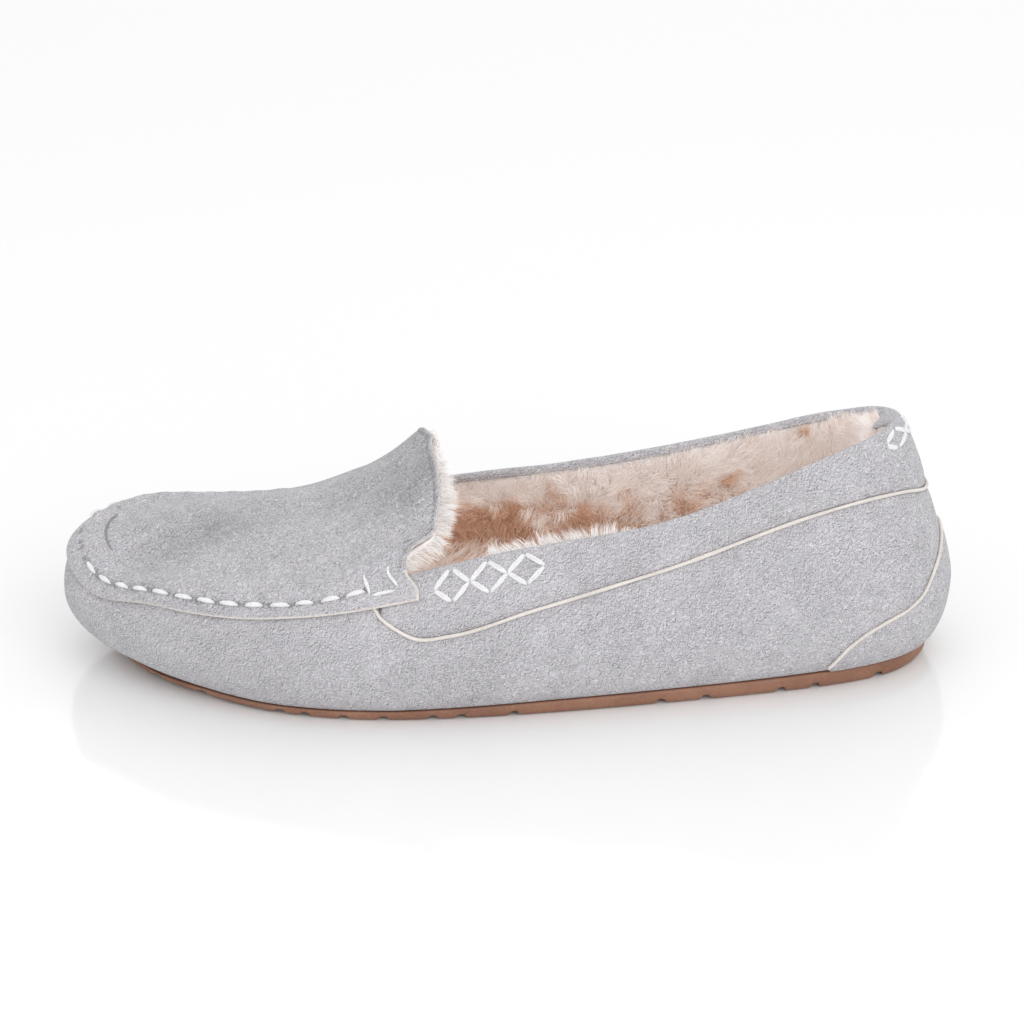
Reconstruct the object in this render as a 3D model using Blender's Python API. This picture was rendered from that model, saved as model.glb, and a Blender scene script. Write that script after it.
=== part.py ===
"""A fur-lined moccasin house slipper for the left foot, built piece by piece.

The toe points along -X, the outer (little toe) side along -Y and the sole rests on Z = 0.
Lengths below are in millimetres and become metres when a mesh is made.
"""
import math

import bmesh
import bpy
import numpy as np

MM = 0.001

# The last: one station every sixteenth of the way round, from the middle of the heel back,
# along the outer side to the toe tip, and home along the inner side.  Columns: x and y of the
# feather edge, how far the side bulges past it, the height of the bulge, how far the top edge
# stands out past the feather edge, the height of the top edge, roundness of the upper half.
STATIONS = (
    (122.6, 0.0, 5.6, 23.5, -9.8, 74.0, 0.22),      # heel back
    (112.5, -19.0, 5.5, 24.0, -7.0, 75.0, 0.30),     # outer heel corner
    (84.0, -29.5, 5.5, 23.0, -3.0, 69.0, 0.42),      # outer heel side
    (45.0, -36.0, 5.0, 22.0, -5.0, 55.5, 0.45),
    (5.0, -41.0, 5.0, 21.0, -8.0, 49.4, 0.50),       # outer waist
    (-34.0, -42.5, 5.5, 20.0, -6.5, 42.8, 0.70),     # outer ball
    (-68.0, -36.0, 6.5, 19.5, -2.5, 36.7, 0.85),
    (-96.0, -18.0, 10.4, 19.5, 1.5, 34.9, 0.88),     # outer toe corner
    (-113.0, 8.0, 15.3, 20.0, 4.2, 35.8, 0.95),      # toe tip
    (-103.0, 28.0, 9.9, 19.5, 1.8, 38.3, 0.88),      # inner toe corner
    (-76.0, 40.0, 6.5, 19.5, -2.5, 34.4, 0.85),
    (-42.0, 43.0, 5.5, 20.0, -6.0, 38.2, 0.70),      # inner ball
    (0.0, 35.0, 6.0, 21.0, -6.5, 46.5, 0.50),        # inner waist
    (42.0, 29.5, 5.5, 22.0, -3.5, 53.0, 0.45),
    (84.0, 29.0, 5.5, 23.0, -3.0, 61.5, 0.42),       # inner heel side
    (112.5, 19.0, 5.5, 24.0, -7.0, 70.5, 0.30),      # inner heel corner
)
X, Y, BULGE, BULGE_Z, TOP_OUT, TOP_Z, ROUND = range(7)
TOE_DIP = 3.6                    # how far the moccasin ridge sags round the outer toe
DIP_AT = 0.468
DIP_WIDTH = 0.024
STEPS = 64                       # facets round the shoe, four to a station

# Sole: heights of its underside and of its top along x.
SOLE_BOTTOM = ((-130.0, 3.6), (-100.0, 1.6), (-70.0, 0.5), (-45.0, 0.0), (112.0, 0.0), (130.0, 1.4))
SOLE_TOP = ((-130.0, 5.6), (-100.0, 3.4), (-70.0, 2.8), (-34.0, 3.0), (10.0, 4.2), (60.0, 4.8), (130.0, 5.8))
SOLE_MARGIN = 0.5                # the sole's top edge past the feather edge
TOE_MARGIN = 1.8                 # how much further it stands out round the toe
TOE_REACH = (-104.0, -84.0)      # from here to here that extra margin fades out
SOLE_BEVEL = 1.6                 # the tread edge, further in
GROOVES = (-101.0, -88.0, -66.0, -59.0, -48.0, -37.0, -23.0, -15.0, 0.0, 42.0, 55.0, 77.0, 87.0, 106.0)
GROOVE_WIDTH = 2.4
GROOVE_DEPTH = 1.4

GAP = 0.3                        # clearance between touching pieces
SUEDE = 1.4                      # thickness of the suede panels
LASTING_MARGIN = 10.0            # suede turned in under the insole board
LIP = 5.0                        # suede turned in over the collar edge

# Plug (the apron over the toes)
EAR = 0.300                      # where its outer ear ends, as a share of the way round
SPINE_TOE = (-92.0, 9.0, 40.5)   # crown line, from over the toes ...
SPINE_THROAT = (-20.2, -2.0, 69.8)   # ... to the top of the throat
SPINE_RISE = 1.5                 # the part of the crown's climb that is even ...
SPINE_POWER = 3.8                # ... and how late the rest of it comes
CROWN_POWER = 1.9
VALLEY_DEPTH = 1.5
VALLEY_AT = 5.0                  # the furrow runs this far inside the moccasin ridge
THROAT_BOW = 6.0
# The plug's raw edge and the moccasin stitching: depth below the ridge along the way to the toe.
OVERLAP_DROP = ((0.0, 6.8), (0.30, 6.8), (0.33, 6.2), (0.365, 5.4), (0.42, 5.4), (0.45, 4.8), (0.5, 4.8))
SEAM_DROP = ((0.0, 2.4), (0.325, 2.4), (0.345, 2.9), (0.38, 2.4), (0.42, 2.4), (0.46, 1.9), (0.5, 1.4))

# Depth of the collar panel below the top edge, against the share of the way round.
COLLAR_DROP = ((0.0, 22.4), (0.03, 21.5), (0.066, 18.2), (0.11, 14.9), (0.16, 12.3), (0.20, 12.6),
               (0.25, 15.6), (0.287, 17.5), (0.302, 16.2), (0.312, 12.0), (0.318, 8.8))
COLLAR_END = 0.318
WALL_STEP = 0.333                # forward of here the side panel reaches the moccasin ridge
# Top edge of the heel patch: height against the share of the way round.
PATCH_TOP = ((0.0, 38.8), (0.014, 37.8), (0.03, 34.8), (0.044, 30.8), (0.056, 25.5), (0.068, 22.5),
             (0.085, 19.8), (0.098, 16.6), (0.107, 12.4), (0.1135, 7.0))
PATCH = 1.1                      # thickness of the heel patch
PATCH_LIFT = 0.5                 # its clearance over the side panel's facets
PIPING = 0.6                     # radius of the piping cords
THREAD = 0.45                    # radius of the decorative threads

# Rows of three stitched diamonds: on each side behind the ear, and at the heel back
DIAMOND_HALF_WIDTH = 5.35
DIAMOND_HALF_HEIGHT = 3.4
DIAMOND_PLACE = 0.2685
SIDE_DIAMOND_DROP = 5.3          # centre line below the top edge
HEEL_DIAMOND_DROP = 4.6
HEEL_DIAMOND_PLACE = 0.0125
SIDE_WAY_PER_MM = 0.0016         # share of the way round in one millimetre
HEEL_WAY_PER_MM = 0.0046

# Lining and padding, as depths below the outer face of the suede
COUNTER_DEPTH = (-1.7, -2.9)
COUNTER_TOP = 44.0
FOAM_DEPTH = (-1.75, -4.5)
QUARTER_LINING_DEPTH = (-4.85, -9.0)
VAMP_LINING_DEPTH = (-2.1, -6.5)
PLUG_LINING_DEPTH = (-0.5, -4.8)

# Layers under the foot: inset from the feather edge, base and top above the sole's top.
LAYERS = {
    "bottom_filler": (LASTING_MARGIN + 0.8, 0.3, 1.6),
    "insole_board": (4.8, 2.1, 3.7),
    "insole_foam": (7.8, 4.1, 7.0),
    "insole_fur": (7.4, 7.4, 12.4),
}

COLOURS = {                      # linear red, green, blue, then roughness
    "suede": ((0.47, 0.46, 0.49), 0.95),
    "fur": ((0.80, 0.64, 0.54), 1.0),
    "piping": ((0.74, 0.68, 0.60), 0.8),
    "thread": ((0.86, 0.85, 0.86), 0.7),
    "rubber": ((0.36, 0.17, 0.09), 0.6),
    "foam": ((0.80, 0.74, 0.62), 0.9),
    "board": ((0.45, 0.36, 0.27), 0.85),
}


def clear_scene():
    for thing in list(bpy.data.objects):
        bpy.data.objects.remove(thing, do_unlink=True)


def material(kind):
    found = bpy.data.materials.get(kind)
    if found:
        return found
    made = bpy.data.materials.new(kind)
    made.use_nodes = True
    colour, roughness = COLOURS[kind]
    shader = made.node_tree.nodes["Principled BSDF"]
    shader.inputs["Base Color"].default_value = (*colour, 1.0)
    shader.inputs["Roughness"].default_value = roughness
    shader.inputs["Metallic"].default_value = 0.0
    made.diffuse_color = (*colour, 1.0)
    return made


# ---------------------------------------------------------------- the shape of the last

def closed_spline(values, share):
    """A smooth closed curve through evenly spaced values, read at a share 0..1 of the way."""
    values = np.asarray(values, float)
    count = len(values)
    matrix = 4 * np.eye(count) + np.roll(np.eye(count), 1, 0) + np.roll(np.eye(count), -1, 0)
    bend = np.linalg.solve(matrix, 6 * (np.roll(values, -1, 0) - 2 * values + np.roll(values, 1, 0)))
    place = np.mod(np.asarray(share, float), 1.0) * count
    low = np.floor(place).astype(int) % count
    high = (low + 1) % count
    part = place - np.floor(place)
    if values.ndim > 1:
        part = part[..., None]
    line = values[low] * (1 - part) + values[high] * part
    return line + ((1 - part) ** 3 - (1 - part)) * bend[low] / 6 + (part ** 3 - part) * bend[high] / 6


def open_spline(points, at):
    """A smooth height curve through (place, height) points."""
    places, heights = np.array(points, float).T
    slopes = np.gradient(heights, places)
    at = np.clip(at, places[0], places[-1])
    low = np.clip(np.searchsorted(places, at, side="right") - 1, 0, len(places) - 2)
    width = places[low + 1] - places[low]
    part = (at - places[low]) / width
    rise = heights[low + 1] - heights[low]
    start = slopes[low] * width - rise
    end = rise - slopes[low + 1] * width
    return heights[low] + part * rise + part * (1 - part) * ((1 - part) * start + part * end)


def station(column, share):
    value = closed_spline([row[column] for row in STATIONS], share)
    if column == TOP_Z:
        value = value - TOE_DIP * np.exp(-((np.mod(share, 1.0) - DIP_AT) / DIP_WIDTH) ** 2)
    return value


def feather(share):
    """The feather edge in plan, where the upper meets the sole."""
    return closed_spline([row[:2] for row in STATIONS], share)


def sideways(share):
    """The outward direction in plan."""
    ahead = feather(np.asarray(share) + 1e-4) - feather(np.asarray(share) - 1e-4)
    ahead /= np.linalg.norm(ahead, axis=-1, keepdims=True)
    return np.stack([-ahead[..., 1], ahead[..., 0]], -1)


def height_along(table, x):
    return np.interp(x, *np.array(table).T)


def floor_of_upper(x):
    return height_along(SOLE_TOP, x) + GAP


def arc(start, middle, end, part):
    """A quadratic curve from start to end that leans on middle."""
    return (1 - part) ** 2 * start + 2 * part * (1 - part) * middle + part ** 2 * end


def fold_share(share):
    """How far round from the heel back, the same for both sides of the shoe."""
    share = np.mod(share, 1.0)
    return np.minimum(share, 1.0 - share)


def crown_line(part):
    toe, throat = np.array(SPINE_TOE), np.array(SPINE_THROAT)
    part = np.asarray(part, float)
    point = toe + (throat - toe) * part[..., None]
    point[..., 2] = toe[2] + SPINE_RISE * part + (throat[2] - toe[2] - SPINE_RISE) * part ** SPINE_POWER
    return point


def cap_point(share, inward):
    """The plug's face: from the moccasin ridge (0) in to the crown line (1)."""
    ridge = upper_point(share, np.full(np.shape(share), 2.0))
    along = np.clip(np.abs(share - 0.5) / (0.5 - EAR), 0, 1)
    crown = crown_line(along)
    inward = np.clip(inward, 0, 1)
    point = ridge + (crown - ridge) * inward[..., None]
    reach = np.linalg.norm((crown - ridge)[..., :2], axis=-1) * inward / VALLEY_AT
    furrow = VALLEY_DEPTH * (1 - along ** 2) * reach * np.exp(1 - reach)
    climb = 1 - (1 - inward) ** CROWN_POWER
    point[..., 2] = ridge[..., 2] + (crown - ridge)[..., 2] * climb - furrow
    near_throat = np.clip(2 * along - 1, 0, 1)
    point[..., 0] += THROAT_BOW * near_throat ** 2 * (3 - 2 * near_throat) * np.sin(math.pi * inward)
    return point


def upper_point(share, level, over="lip"):
    """A point of the upper's outer face.

    level -1..0 crosses the lasting margin, 0..1 climbs to the bulge, 1..2 climbs to the top
    edge, and 2..3 turns in over the collar ("lip") or across the plug ("cap").
    """
    share, level = np.broadcast_arrays(np.asarray(share, float), np.asarray(level, float))
    edge, out = feather(share), sideways(share)
    bulge, bulge_z = station(BULGE, share), station(BULGE_Z, share)
    top_out, top_z = station(TOP_OUT, share), station(TOP_Z, share)
    base_z = floor_of_upper(edge[..., 0])
    low, high = np.clip(level, 0, 1), np.clip(level - 1, 0, 1)
    shift = np.where(level <= 1, arc(0, 0.95 * bulge, bulge, low), arc(bulge, bulge, top_out, high))
    lean = base_z + 0.3 * (bulge_z - base_z)
    shoulder = bulge_z + station(ROUND, share) * (top_z - bulge_z)
    z = np.where(level <= 1, arc(base_z, lean, bulge_z, low), arc(bulge_z, shoulder, top_z, high))
    shift = shift + LASTING_MARGIN * np.minimum(level, 0) - LIP * np.maximum(level - 2, 0)
    plan = edge + out * shift[..., None]
    z = np.where(level < 0, floor_of_upper(plan[..., 0]), z)
    point = np.concatenate([plan, z[..., None]], -1)
    if over == "cap":
        point = np.where((level > 2)[..., None], cap_point(share, level - 2), point)
    return point


def outward(share, level, over="lip"):
    """The outward direction of the upper's face."""
    share, level = np.broadcast_arrays(np.asarray(share, float), np.asarray(level, float))
    highest = 3.0 if over == "cap" else 4.0
    above = np.minimum(level + 0.03, highest)
    round_step = upper_point(share + 1e-3, level, over) - upper_point(share - 1e-3, level, over)
    up_step = upper_point(share, above, over) - upper_point(share, level - 0.03, over)
    normal = np.cross(up_step, round_step)
    return normal / np.linalg.norm(normal, axis=-1, keepdims=True)


def level_at(share, z):
    """The level at which the upper's side reaches a height."""
    base_z = floor_of_upper(feather(share)[..., 0])
    bulge_z, top_z = station(BULGE_Z, share), station(TOP_Z, share)
    high = z > bulge_z
    start = np.where(high, bulge_z, base_z)
    end = np.where(high, top_z, bulge_z)
    lean = np.where(high, station(ROUND, share), 0.3)
    bend = (end - start) * (1 - 2 * lean)
    bend = np.where(np.abs(bend) < 1e-6, 1e-6, bend)
    rise = 2 * lean * (end - start)
    part = (-rise + np.sqrt(np.maximum(rise ** 2 + 4 * bend * (z - start), 0))) / (2 * bend)
    return np.where(high, 1.0, 0.0) + np.clip(part, 0, 1)


def collar_line(share):
    return level_at(share, station(TOP_Z, share) - open_spline(COLLAR_DROP, fold_share(share)))


def seam_clearance(share):
    """The room a piping cord takes on each side of its seam, as a step in level."""
    return (PIPING + GAP + 0.1) / (station(TOP_Z, share) - station(BULGE_Z, share))


def patch_line(share):
    return level_at(share, open_spline(PATCH_TOP, fold_share(share)))


def below_ridge(share, drop):
    return level_at(share, station(TOP_Z, share) - drop)


# ---------------------------------------------------------------- solids

def add_mesh(name, kind, points, faces):
    mesh = bpy.data.meshes.new(name)
    mesh.from_pydata((np.asarray(points) * MM).tolist(), [], faces)
    shell = bmesh.new()
    shell.from_mesh(mesh)
    bmesh.ops.recalc_face_normals(shell, faces=shell.faces)
    shell.to_mesh(mesh)
    shell.free()
    mesh.shade_smooth()
    mesh.set_sharp_from_angle(angle=math.radians(40))
    mesh.materials.append(material(kind))
    made = bpy.data.objects.new(name, mesh)
    bpy.context.scene.collection.objects.link(made)
    return made


def grid_faces(rows, columns, closed):
    faces = []
    for row in range(rows if closed else rows - 1):
        after = (row + 1) % rows
        for column in range(columns - 1):
            faces.append((row * columns + column, row * columns + column + 1,
                          after * columns + column + 1, after * columns + column))
    return faces


def thicken(name, kind, points, normals, faces, depths):
    """A closed solid between two depths of an open surface, its rim stitched."""
    count = len(points)
    outer = points + normals * depths[0]
    inner = points + normals * depths[1]
    edges = {}
    for face in faces:
        for here, there in zip(face, face[1:] + face[:1]):
            edges.setdefault((min(here, there), max(here, there)), []).append((here, there))
    rim = [pair[0] for pair in edges.values() if len(pair) == 1]
    solid = list(faces)
    solid += [tuple(count + corner for corner in reversed(face)) for face in faces]
    solid += [(there, here, count + here, count + there) for here, there in rim]
    return add_mesh(name, kind, np.concatenate([outer, inner]), solid)


def shares_between(start, end, extra=()):
    """The shared facet lines between two places, so that layers nest without touching."""
    grid = np.arange(math.ceil(start * STEPS - 1e-6), math.floor(end * STEPS + 1e-6) + 1) / STEPS
    shares = np.unique(np.round(np.concatenate([[start, end], grid, extra]), 6))
    keep = np.concatenate([[True], np.diff(shares) > 0.002])
    return shares[keep]


def panel(name, kind, shares, low, high, rows, depths, closed=False, over="lip"):
    """A strip of the upper between two level lines."""
    part = np.linspace(0, 1, rows)
    share = np.repeat(shares[:, None], rows, 1)
    level = low[:, None] * (1 - part) + high[:, None] * part
    points = upper_point(share, level, over).reshape(-1, 3)
    normals = outward(share, level, over).reshape(-1, 3)
    return thicken(name, kind, points, normals, grid_faces(len(shares), rows, closed), depths)


def fan(name, kind, shares, levels, depths):
    """A sheet over the toes whose two sides meet along the crown line."""
    middle = len(shares) // 2
    columns = levels.shape[1]
    points = upper_point(shares[:, None], levels, "cap")
    normals = outward(shares[:, None], levels, "cap")
    normals[:, -1] = normals[:, -1] + normals[::-1, -1]
    normals[:, -1] /= np.linalg.norm(normals[:, -1], axis=-1, keepdims=True)
    number = np.full((len(shares), columns), -1)
    order = []
    for row in range(len(shares)):
        for column in range(columns):
            twin = len(shares) - 1 - row
            if column == columns - 1 and row > middle:
                number[row, column] = number[twin, column]
            else:
                number[row, column] = len(order)
                order.append((row, column))
    faces = []
    for row in range(len(shares) - 1):
        for column in range(columns - 1):
            corners = (number[row, column], number[row, column + 1],
                       number[row + 1, column + 1], number[row + 1, column])
            faces.append(tuple(int(corner) for corner in dict.fromkeys(corners)))
    rows, cols = np.array(order).T
    return thicken(name, kind, points[rows, cols], normals[rows, cols], faces, depths)


def outline_pair(inset, xs, flare=0.0):
    """The outer and inner side of the inset sole outline at each x, flared out round the toe."""
    share = np.linspace(0, 0.5, 200)
    sides = []
    for side in (share, 1.0 - share):
        plan = feather(side)
        reach = np.interp(plan[:, 0], TOE_REACH, (1.0, 0.0))
        plan = plan - sideways(side) * (inset - flare * reach)[:, None]
        order = np.argsort(plan[:, 0])
        sides.append(np.interp(xs, plan[order, 0], plan[order, 1]))
    return sides


def slices_along(inset, breaks=(), flare=0.0):
    """Cross-section places along x, closer together at the round ends."""
    toe, heel = feather(0.5)[0] + inset - flare, feather(0.0)[0] - inset
    turn = np.linspace(0, math.pi, 34)
    xs = (toe + heel) / 2 - (heel - toe - 0.6) / 2 * np.cos(turn)
    return np.unique(np.round(np.concatenate([xs, breaks]), 4))


def loft(name, kind, rings):
    """A solid through a row of four-cornered cross-sections."""
    points = np.concatenate(rings)
    faces = [(0, 1, 2, 3), tuple(range(len(points) - 1, len(points) - 5, -1))]
    for row in range(len(rings) - 1):
        for corner in range(4):
            after = (corner + 1) % 4
            faces.append((4 * row + corner, 4 * row + after, 4 * row + 4 + after, 4 * row + 4 + corner))
    return add_mesh(name, kind, points, faces)


def layer(name, kind):
    """A sole-shaped layer that follows the top of the sole."""
    inset, low, high = LAYERS[name]
    xs = slices_along(inset)
    outer, inner = outline_pair(inset, xs)
    base = height_along(SOLE_TOP, xs)
    rings = []
    for x, near, far, z in zip(xs, outer, inner, base):
        if far - near > 0.5:
            rings.append([(x, near, z + low), (x, far, z + low), (x, far, z + high), (x, near, z + high)])
    return loft(name, kind, rings)


def outsole():
    """The tread plate: a lofted slab with cross grooves that run out at both edges."""
    half = GROOVE_WIDTH / 2
    breaks = np.concatenate([[groove - half, groove + half] for groove in GROOVES])
    xs = slices_along(-SOLE_MARGIN, breaks, TOE_MARGIN)
    tops, treads = outline_pair(-SOLE_MARGIN, xs, TOE_MARGIN), outline_pair(SOLE_BEVEL, xs, TOE_MARGIN)
    rings = []
    for index, x in enumerate(xs):
        top_near, top_far = tops[0][index], tops[1][index]
        squeeze = min(1.0, (top_far - top_near) / 24.0)
        near = top_near + squeeze * max(treads[0][index] - top_near, SOLE_BEVEL)
        far = top_far - squeeze * max(top_far - treads[1][index], SOLE_BEVEL)
        if far - near < 0.5:
            continue
        low, high = height_along(SOLE_BOTTOM, x), height_along(SOLE_TOP, x)
        centre = min(GROOVES, key=lambda groove: abs(groove - x))
        reach = abs(abs(x - centre) - half) < 1e-3
        depths = (0.0,)
        if reach:
            depths = (0.0, GROOVE_DEPTH) if x < centre else (GROOVE_DEPTH, 0.0)
        elif abs(x - centre) < half:
            depths = (GROOVE_DEPTH,)
        for depth in depths:
            z = low + min(depth, (high - low) * 0.6)
            rings.append([(x, near, z), (x, far, z), (x, top_far, high), (x, top_near, high)])
    return loft("outsole", "rubber", rings)


def cord(name, kind, points, radius, closed=False):
    """A round cord through points, as a bevelled curve."""
    curve = bpy.data.curves.new(name, "CURVE")
    curve.dimensions = "3D"
    curve.bevel_depth = radius * MM
    curve.bevel_resolution = 1
    curve.use_fill_caps = not closed
    spline = curve.splines.new("POLY")
    spline.points.add(len(points) - 1)
    for slot, point in zip(spline.points, points):
        slot.co = (*(np.asarray(point) * MM), 1.0)
    spline.use_cyclic_u = closed
    curve.materials.append(material(kind))
    made = bpy.data.objects.new(name, curve)
    bpy.context.scene.collection.objects.link(made)
    return made


def on_upper(shares, levels, height, over="lip"):
    shares, levels = np.asarray(shares, float), np.asarray(levels, float)
    return upper_point(shares, levels, over) + outward(shares, levels, over) * np.asarray(height)[..., None]


# ---------------------------------------------------------------- the pieces

def side_wall():
    """One long panel from the heel back round the toe, lasted under the board."""
    shares = shares_between(0.004, 0.996, (COLLAR_END + 0.003, WALL_STEP,
                                           1 - WALL_STEP, 1 - COLLAR_END - 0.003))
    folded = fold_share(shares)
    behind = collar_line(shares) - seam_clearance(shares)
    ridge = below_ridge(shares, 1.4)
    high = np.where(folded < WALL_STEP - 1e-4, behind, ridge)
    fixed = np.array([-1.0, 0.0, 0.35, 0.7, 1.0])
    rows = 4
    part = np.linspace(0, 1, rows)[1:]
    level = np.concatenate([np.repeat(fixed[None], len(shares), 0),
                            1 + (high - 1)[:, None] * part], 1)
    share = np.repeat(shares[:, None], level.shape[1], 1)
    points, normals = upper_point(share, level), outward(share, level)
    faces = grid_faces(len(shares), level.shape[1], False)
    thicken("side_wall", "suede", points.reshape(-1, 3), normals.reshape(-1, 3), faces, (0.0, -SUEDE))


def collar_band():
    shares = shares_between(-COLLAR_END, COLLAR_END)
    low = collar_line(shares) + seam_clearance(shares)
    part = np.array([0.0, 0.35, 0.7, 1.0])
    level = np.concatenate([low[:, None] + (2 - low)[:, None] * part, np.full((len(shares), 1), 3.0)], 1)
    share = np.repeat(shares[:, None], level.shape[1], 1)
    points, normals = upper_point(share, level), outward(share, level)
    faces = grid_faces(len(shares), level.shape[1], False)
    thicken("collar_band", "suede", points.reshape(-1, 3), normals.reshape(-1, 3), faces, (0.0, -SUEDE))


def plug():
    shares = shares_between(EAR, 1 - EAR)
    edge = below_ridge(shares, height_along(OVERLAP_DROP, fold_share(shares)))
    inward = np.array([0.0, 0.1, 0.2, 0.3, 0.4, 0.52, 0.65, 0.82, 1.0])
    across = np.repeat(2 + inward[None], len(shares), 0)
    levels = np.concatenate([edge[:, None], (edge[:, None] + 2) / 2, across], 1)
    fan("plug", "suede", shares, levels, (GAP + SUEDE, GAP))


def plug_lining():
    shares = shares_between(EAR + 0.004, 1 - EAR - 0.004)
    inward = np.array([0.3, 0.4, 0.52, 0.65, 0.82, 1.0])
    levels = np.repeat(2 + inward[None], len(shares), 0)
    fan("plug_lining", "fur", shares, levels, PLUG_LINING_DEPTH)


def linings():
    vamp = shares_between(EAR + 0.012, 1 - EAR - 0.012)
    panel("vamp_lining", "fur", vamp, np.zeros(len(vamp)), below_ridge(vamp, 3.2), 5, VAMP_LINING_DEPTH)
    quarter = shares_between(-EAR, EAR)
    panel("quarter_lining", "fur", quarter, np.full(len(quarter), 0.05), below_ridge(quarter, 2.6), 5,
          QUARTER_LINING_DEPTH)


def heel_counter():
    shares = shares_between(-0.14, 0.14)
    low, high = np.full(len(shares), 0.3), level_at(shares, np.full(len(shares), COUNTER_TOP))
    panel("heel_counter", "board", shares, low, high, 5, COUNTER_DEPTH)


def collar_foam():
    shares = shares_between(-EAR, EAR)
    low = below_ridge(shares, 0.72 * open_spline(COLLAR_DROP, fold_share(shares)))
    panel("collar_foam", "foam", shares, low, below_ridge(shares, 2.6), 3, FOAM_DEPTH)


def patch_shares():
    one_side = np.array([row[0] for row in PATCH_TOP])
    return np.unique(np.concatenate([one_side, -one_side]))


def heel_patch():
    shares = patch_shares()
    high = patch_line(shares)
    low = np.minimum(0.05, high - 0.02)
    panel("heel_patch", "suede", shares, low, high, 9, (PATCH_LIFT + PATCH, PATCH_LIFT))


def pipings():
    shares = shares_between(-COLLAR_END, COLLAR_END, (0.307, 0.313, -0.307, -0.313))
    cord("collar_piping", "piping", on_upper(shares, collar_line(shares), np.full(len(shares), 0.25)), PIPING)
    shares = patch_shares()
    away = PIPING + 0.55
    rim = on_upper(shares, patch_line(shares), np.full(len(shares), GAP + PIPING + 0.1))
    along = np.gradient(rim, axis=0)
    normal = outward(shares, patch_line(shares))
    side = np.cross(normal, along)
    side *= np.sign(side[len(side) // 2, 2])
    side /= np.linalg.norm(side, axis=-1, keepdims=True)
    cord("heel_patch_piping", "piping", rim + side * away, PIPING)


def moccasin_thread():
    """One thread run round the ridge, rising over each stitch."""
    shares = np.linspace(0.334, 0.666, 97)
    wave = np.where(np.arange(len(shares)) % 2 == 0, 0.1, 0.6)
    height = GAP + SUEDE + GAP + THREAD + wave
    seam = below_ridge(shares, height_along(SEAM_DROP, fold_share(shares)))
    cord("moccasin_thread", "thread", on_upper(shares, seam, height, "cap"), THREAD)


def corner_threads():
    """A staple of thread that tacks each ear of the plug down."""
    share = np.array([0.3255, 0.3240, 0.3225, 0.3180, 0.3130, 0.3120, 0.3125])
    level = np.array([2.12, 1.97, 1.80, 1.77, 1.78, 1.92, 2.06])
    lift = GAP + SUEDE + GAP + THREAD + np.array([0.2, 0.5, 0.15, 0.15, 0.15, 0.5, 0.2])
    cord("corner_thread_outer", "thread", on_upper(share, level, lift, "cap"), THREAD)
    cord("corner_thread_inner", "thread", on_upper(1 - share, level, lift, "cap"), THREAD)


def diamond_thread(name, centre, way_per_mm, drop):
    """Three diamonds in a row, laced with one thread: out along one zigzag, back over the other."""
    places = np.arange(-3, 4)
    rises = np.array([0, 1, 0, -1, 0, 1, 0])
    under, over = GAP + THREAD, GAP + 3.4 * THREAD
    route = [(place, rise, under) for place, rise in zip(places, rises)]
    route += [(3.16, 0.0, (under + over) / 2 + 0.2)]
    route += [(place, -rise, over) for place, rise in zip(places[::-1], rises[::-1])]
    place, rise, lift = np.array(route).T
    share = centre + place * DIAMOND_HALF_WIDTH * way_per_mm
    level = below_ridge(share, drop - DIAMOND_HALF_HEIGHT * rise)
    cord(name, "thread", on_upper(share, level, lift), THREAD)


def centre_on_origin():
    """Put the middle of the outline over the origin."""
    bpy.context.view_layer.update()
    low, high = np.full(3, np.inf), np.full(3, -np.inf)
    for thing in bpy.data.objects:
        corners = np.array([corner[:] for corner in thing.bound_box])
        low, high = np.minimum(low, corners.min(0)), np.maximum(high, corners.max(0))
    shift = (-(low[0] + high[0]) / 2, -(low[1] + high[1]) / 2, 0.0)
    for thing in bpy.data.objects:
        thing.location = shift


def build():
    clear_scene()
    outsole()
    layer("bottom_filler", "board")
    layer("insole_board", "board")
    layer("insole_foam", "foam")
    layer("insole_fur", "fur")
    side_wall()
    heel_counter()
    collar_foam()
    linings()
    collar_band()
    plug_lining()
    plug()
    heel_patch()
    pipings()
    moccasin_thread()
    corner_threads()
    diamond_thread("diamond_thread_outer", DIAMOND_PLACE, SIDE_WAY_PER_MM, SIDE_DIAMOND_DROP)
    diamond_thread("diamond_thread_inner", 1 - DIAMOND_PLACE, SIDE_WAY_PER_MM, SIDE_DIAMOND_DROP)
    diamond_thread("diamond_thread_heel", HEEL_DIAMOND_PLACE, HEEL_WAY_PER_MM, HEEL_DIAMOND_DROP)
    centre_on_origin()


build()
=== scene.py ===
"""Looks for the fur-lined moccasin slipper.

Every suede panel is a displaced shell over the same last as the CAD part, the stitches are
laid yarn, and the fur is grown as tapered strands.  Lengths are in millimetres until a mesh
is made.  The toe points along -X, the outer side of the foot along -Y.
"""
import itertools
import math

import bmesh
import bpy
import numpy as np
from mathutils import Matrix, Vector


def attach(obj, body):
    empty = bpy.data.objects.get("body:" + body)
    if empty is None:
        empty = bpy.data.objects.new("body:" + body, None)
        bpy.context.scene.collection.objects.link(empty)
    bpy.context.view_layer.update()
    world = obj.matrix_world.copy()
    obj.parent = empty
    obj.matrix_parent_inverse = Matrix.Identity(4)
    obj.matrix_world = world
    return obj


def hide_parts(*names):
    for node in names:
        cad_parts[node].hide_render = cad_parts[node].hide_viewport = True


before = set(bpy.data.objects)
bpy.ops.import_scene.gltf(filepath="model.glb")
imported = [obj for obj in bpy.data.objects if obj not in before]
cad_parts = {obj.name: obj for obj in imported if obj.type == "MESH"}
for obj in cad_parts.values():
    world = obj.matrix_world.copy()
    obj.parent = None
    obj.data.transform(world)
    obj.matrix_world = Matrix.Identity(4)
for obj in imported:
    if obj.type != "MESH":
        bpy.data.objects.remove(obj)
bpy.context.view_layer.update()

MM = 0.001
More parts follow.
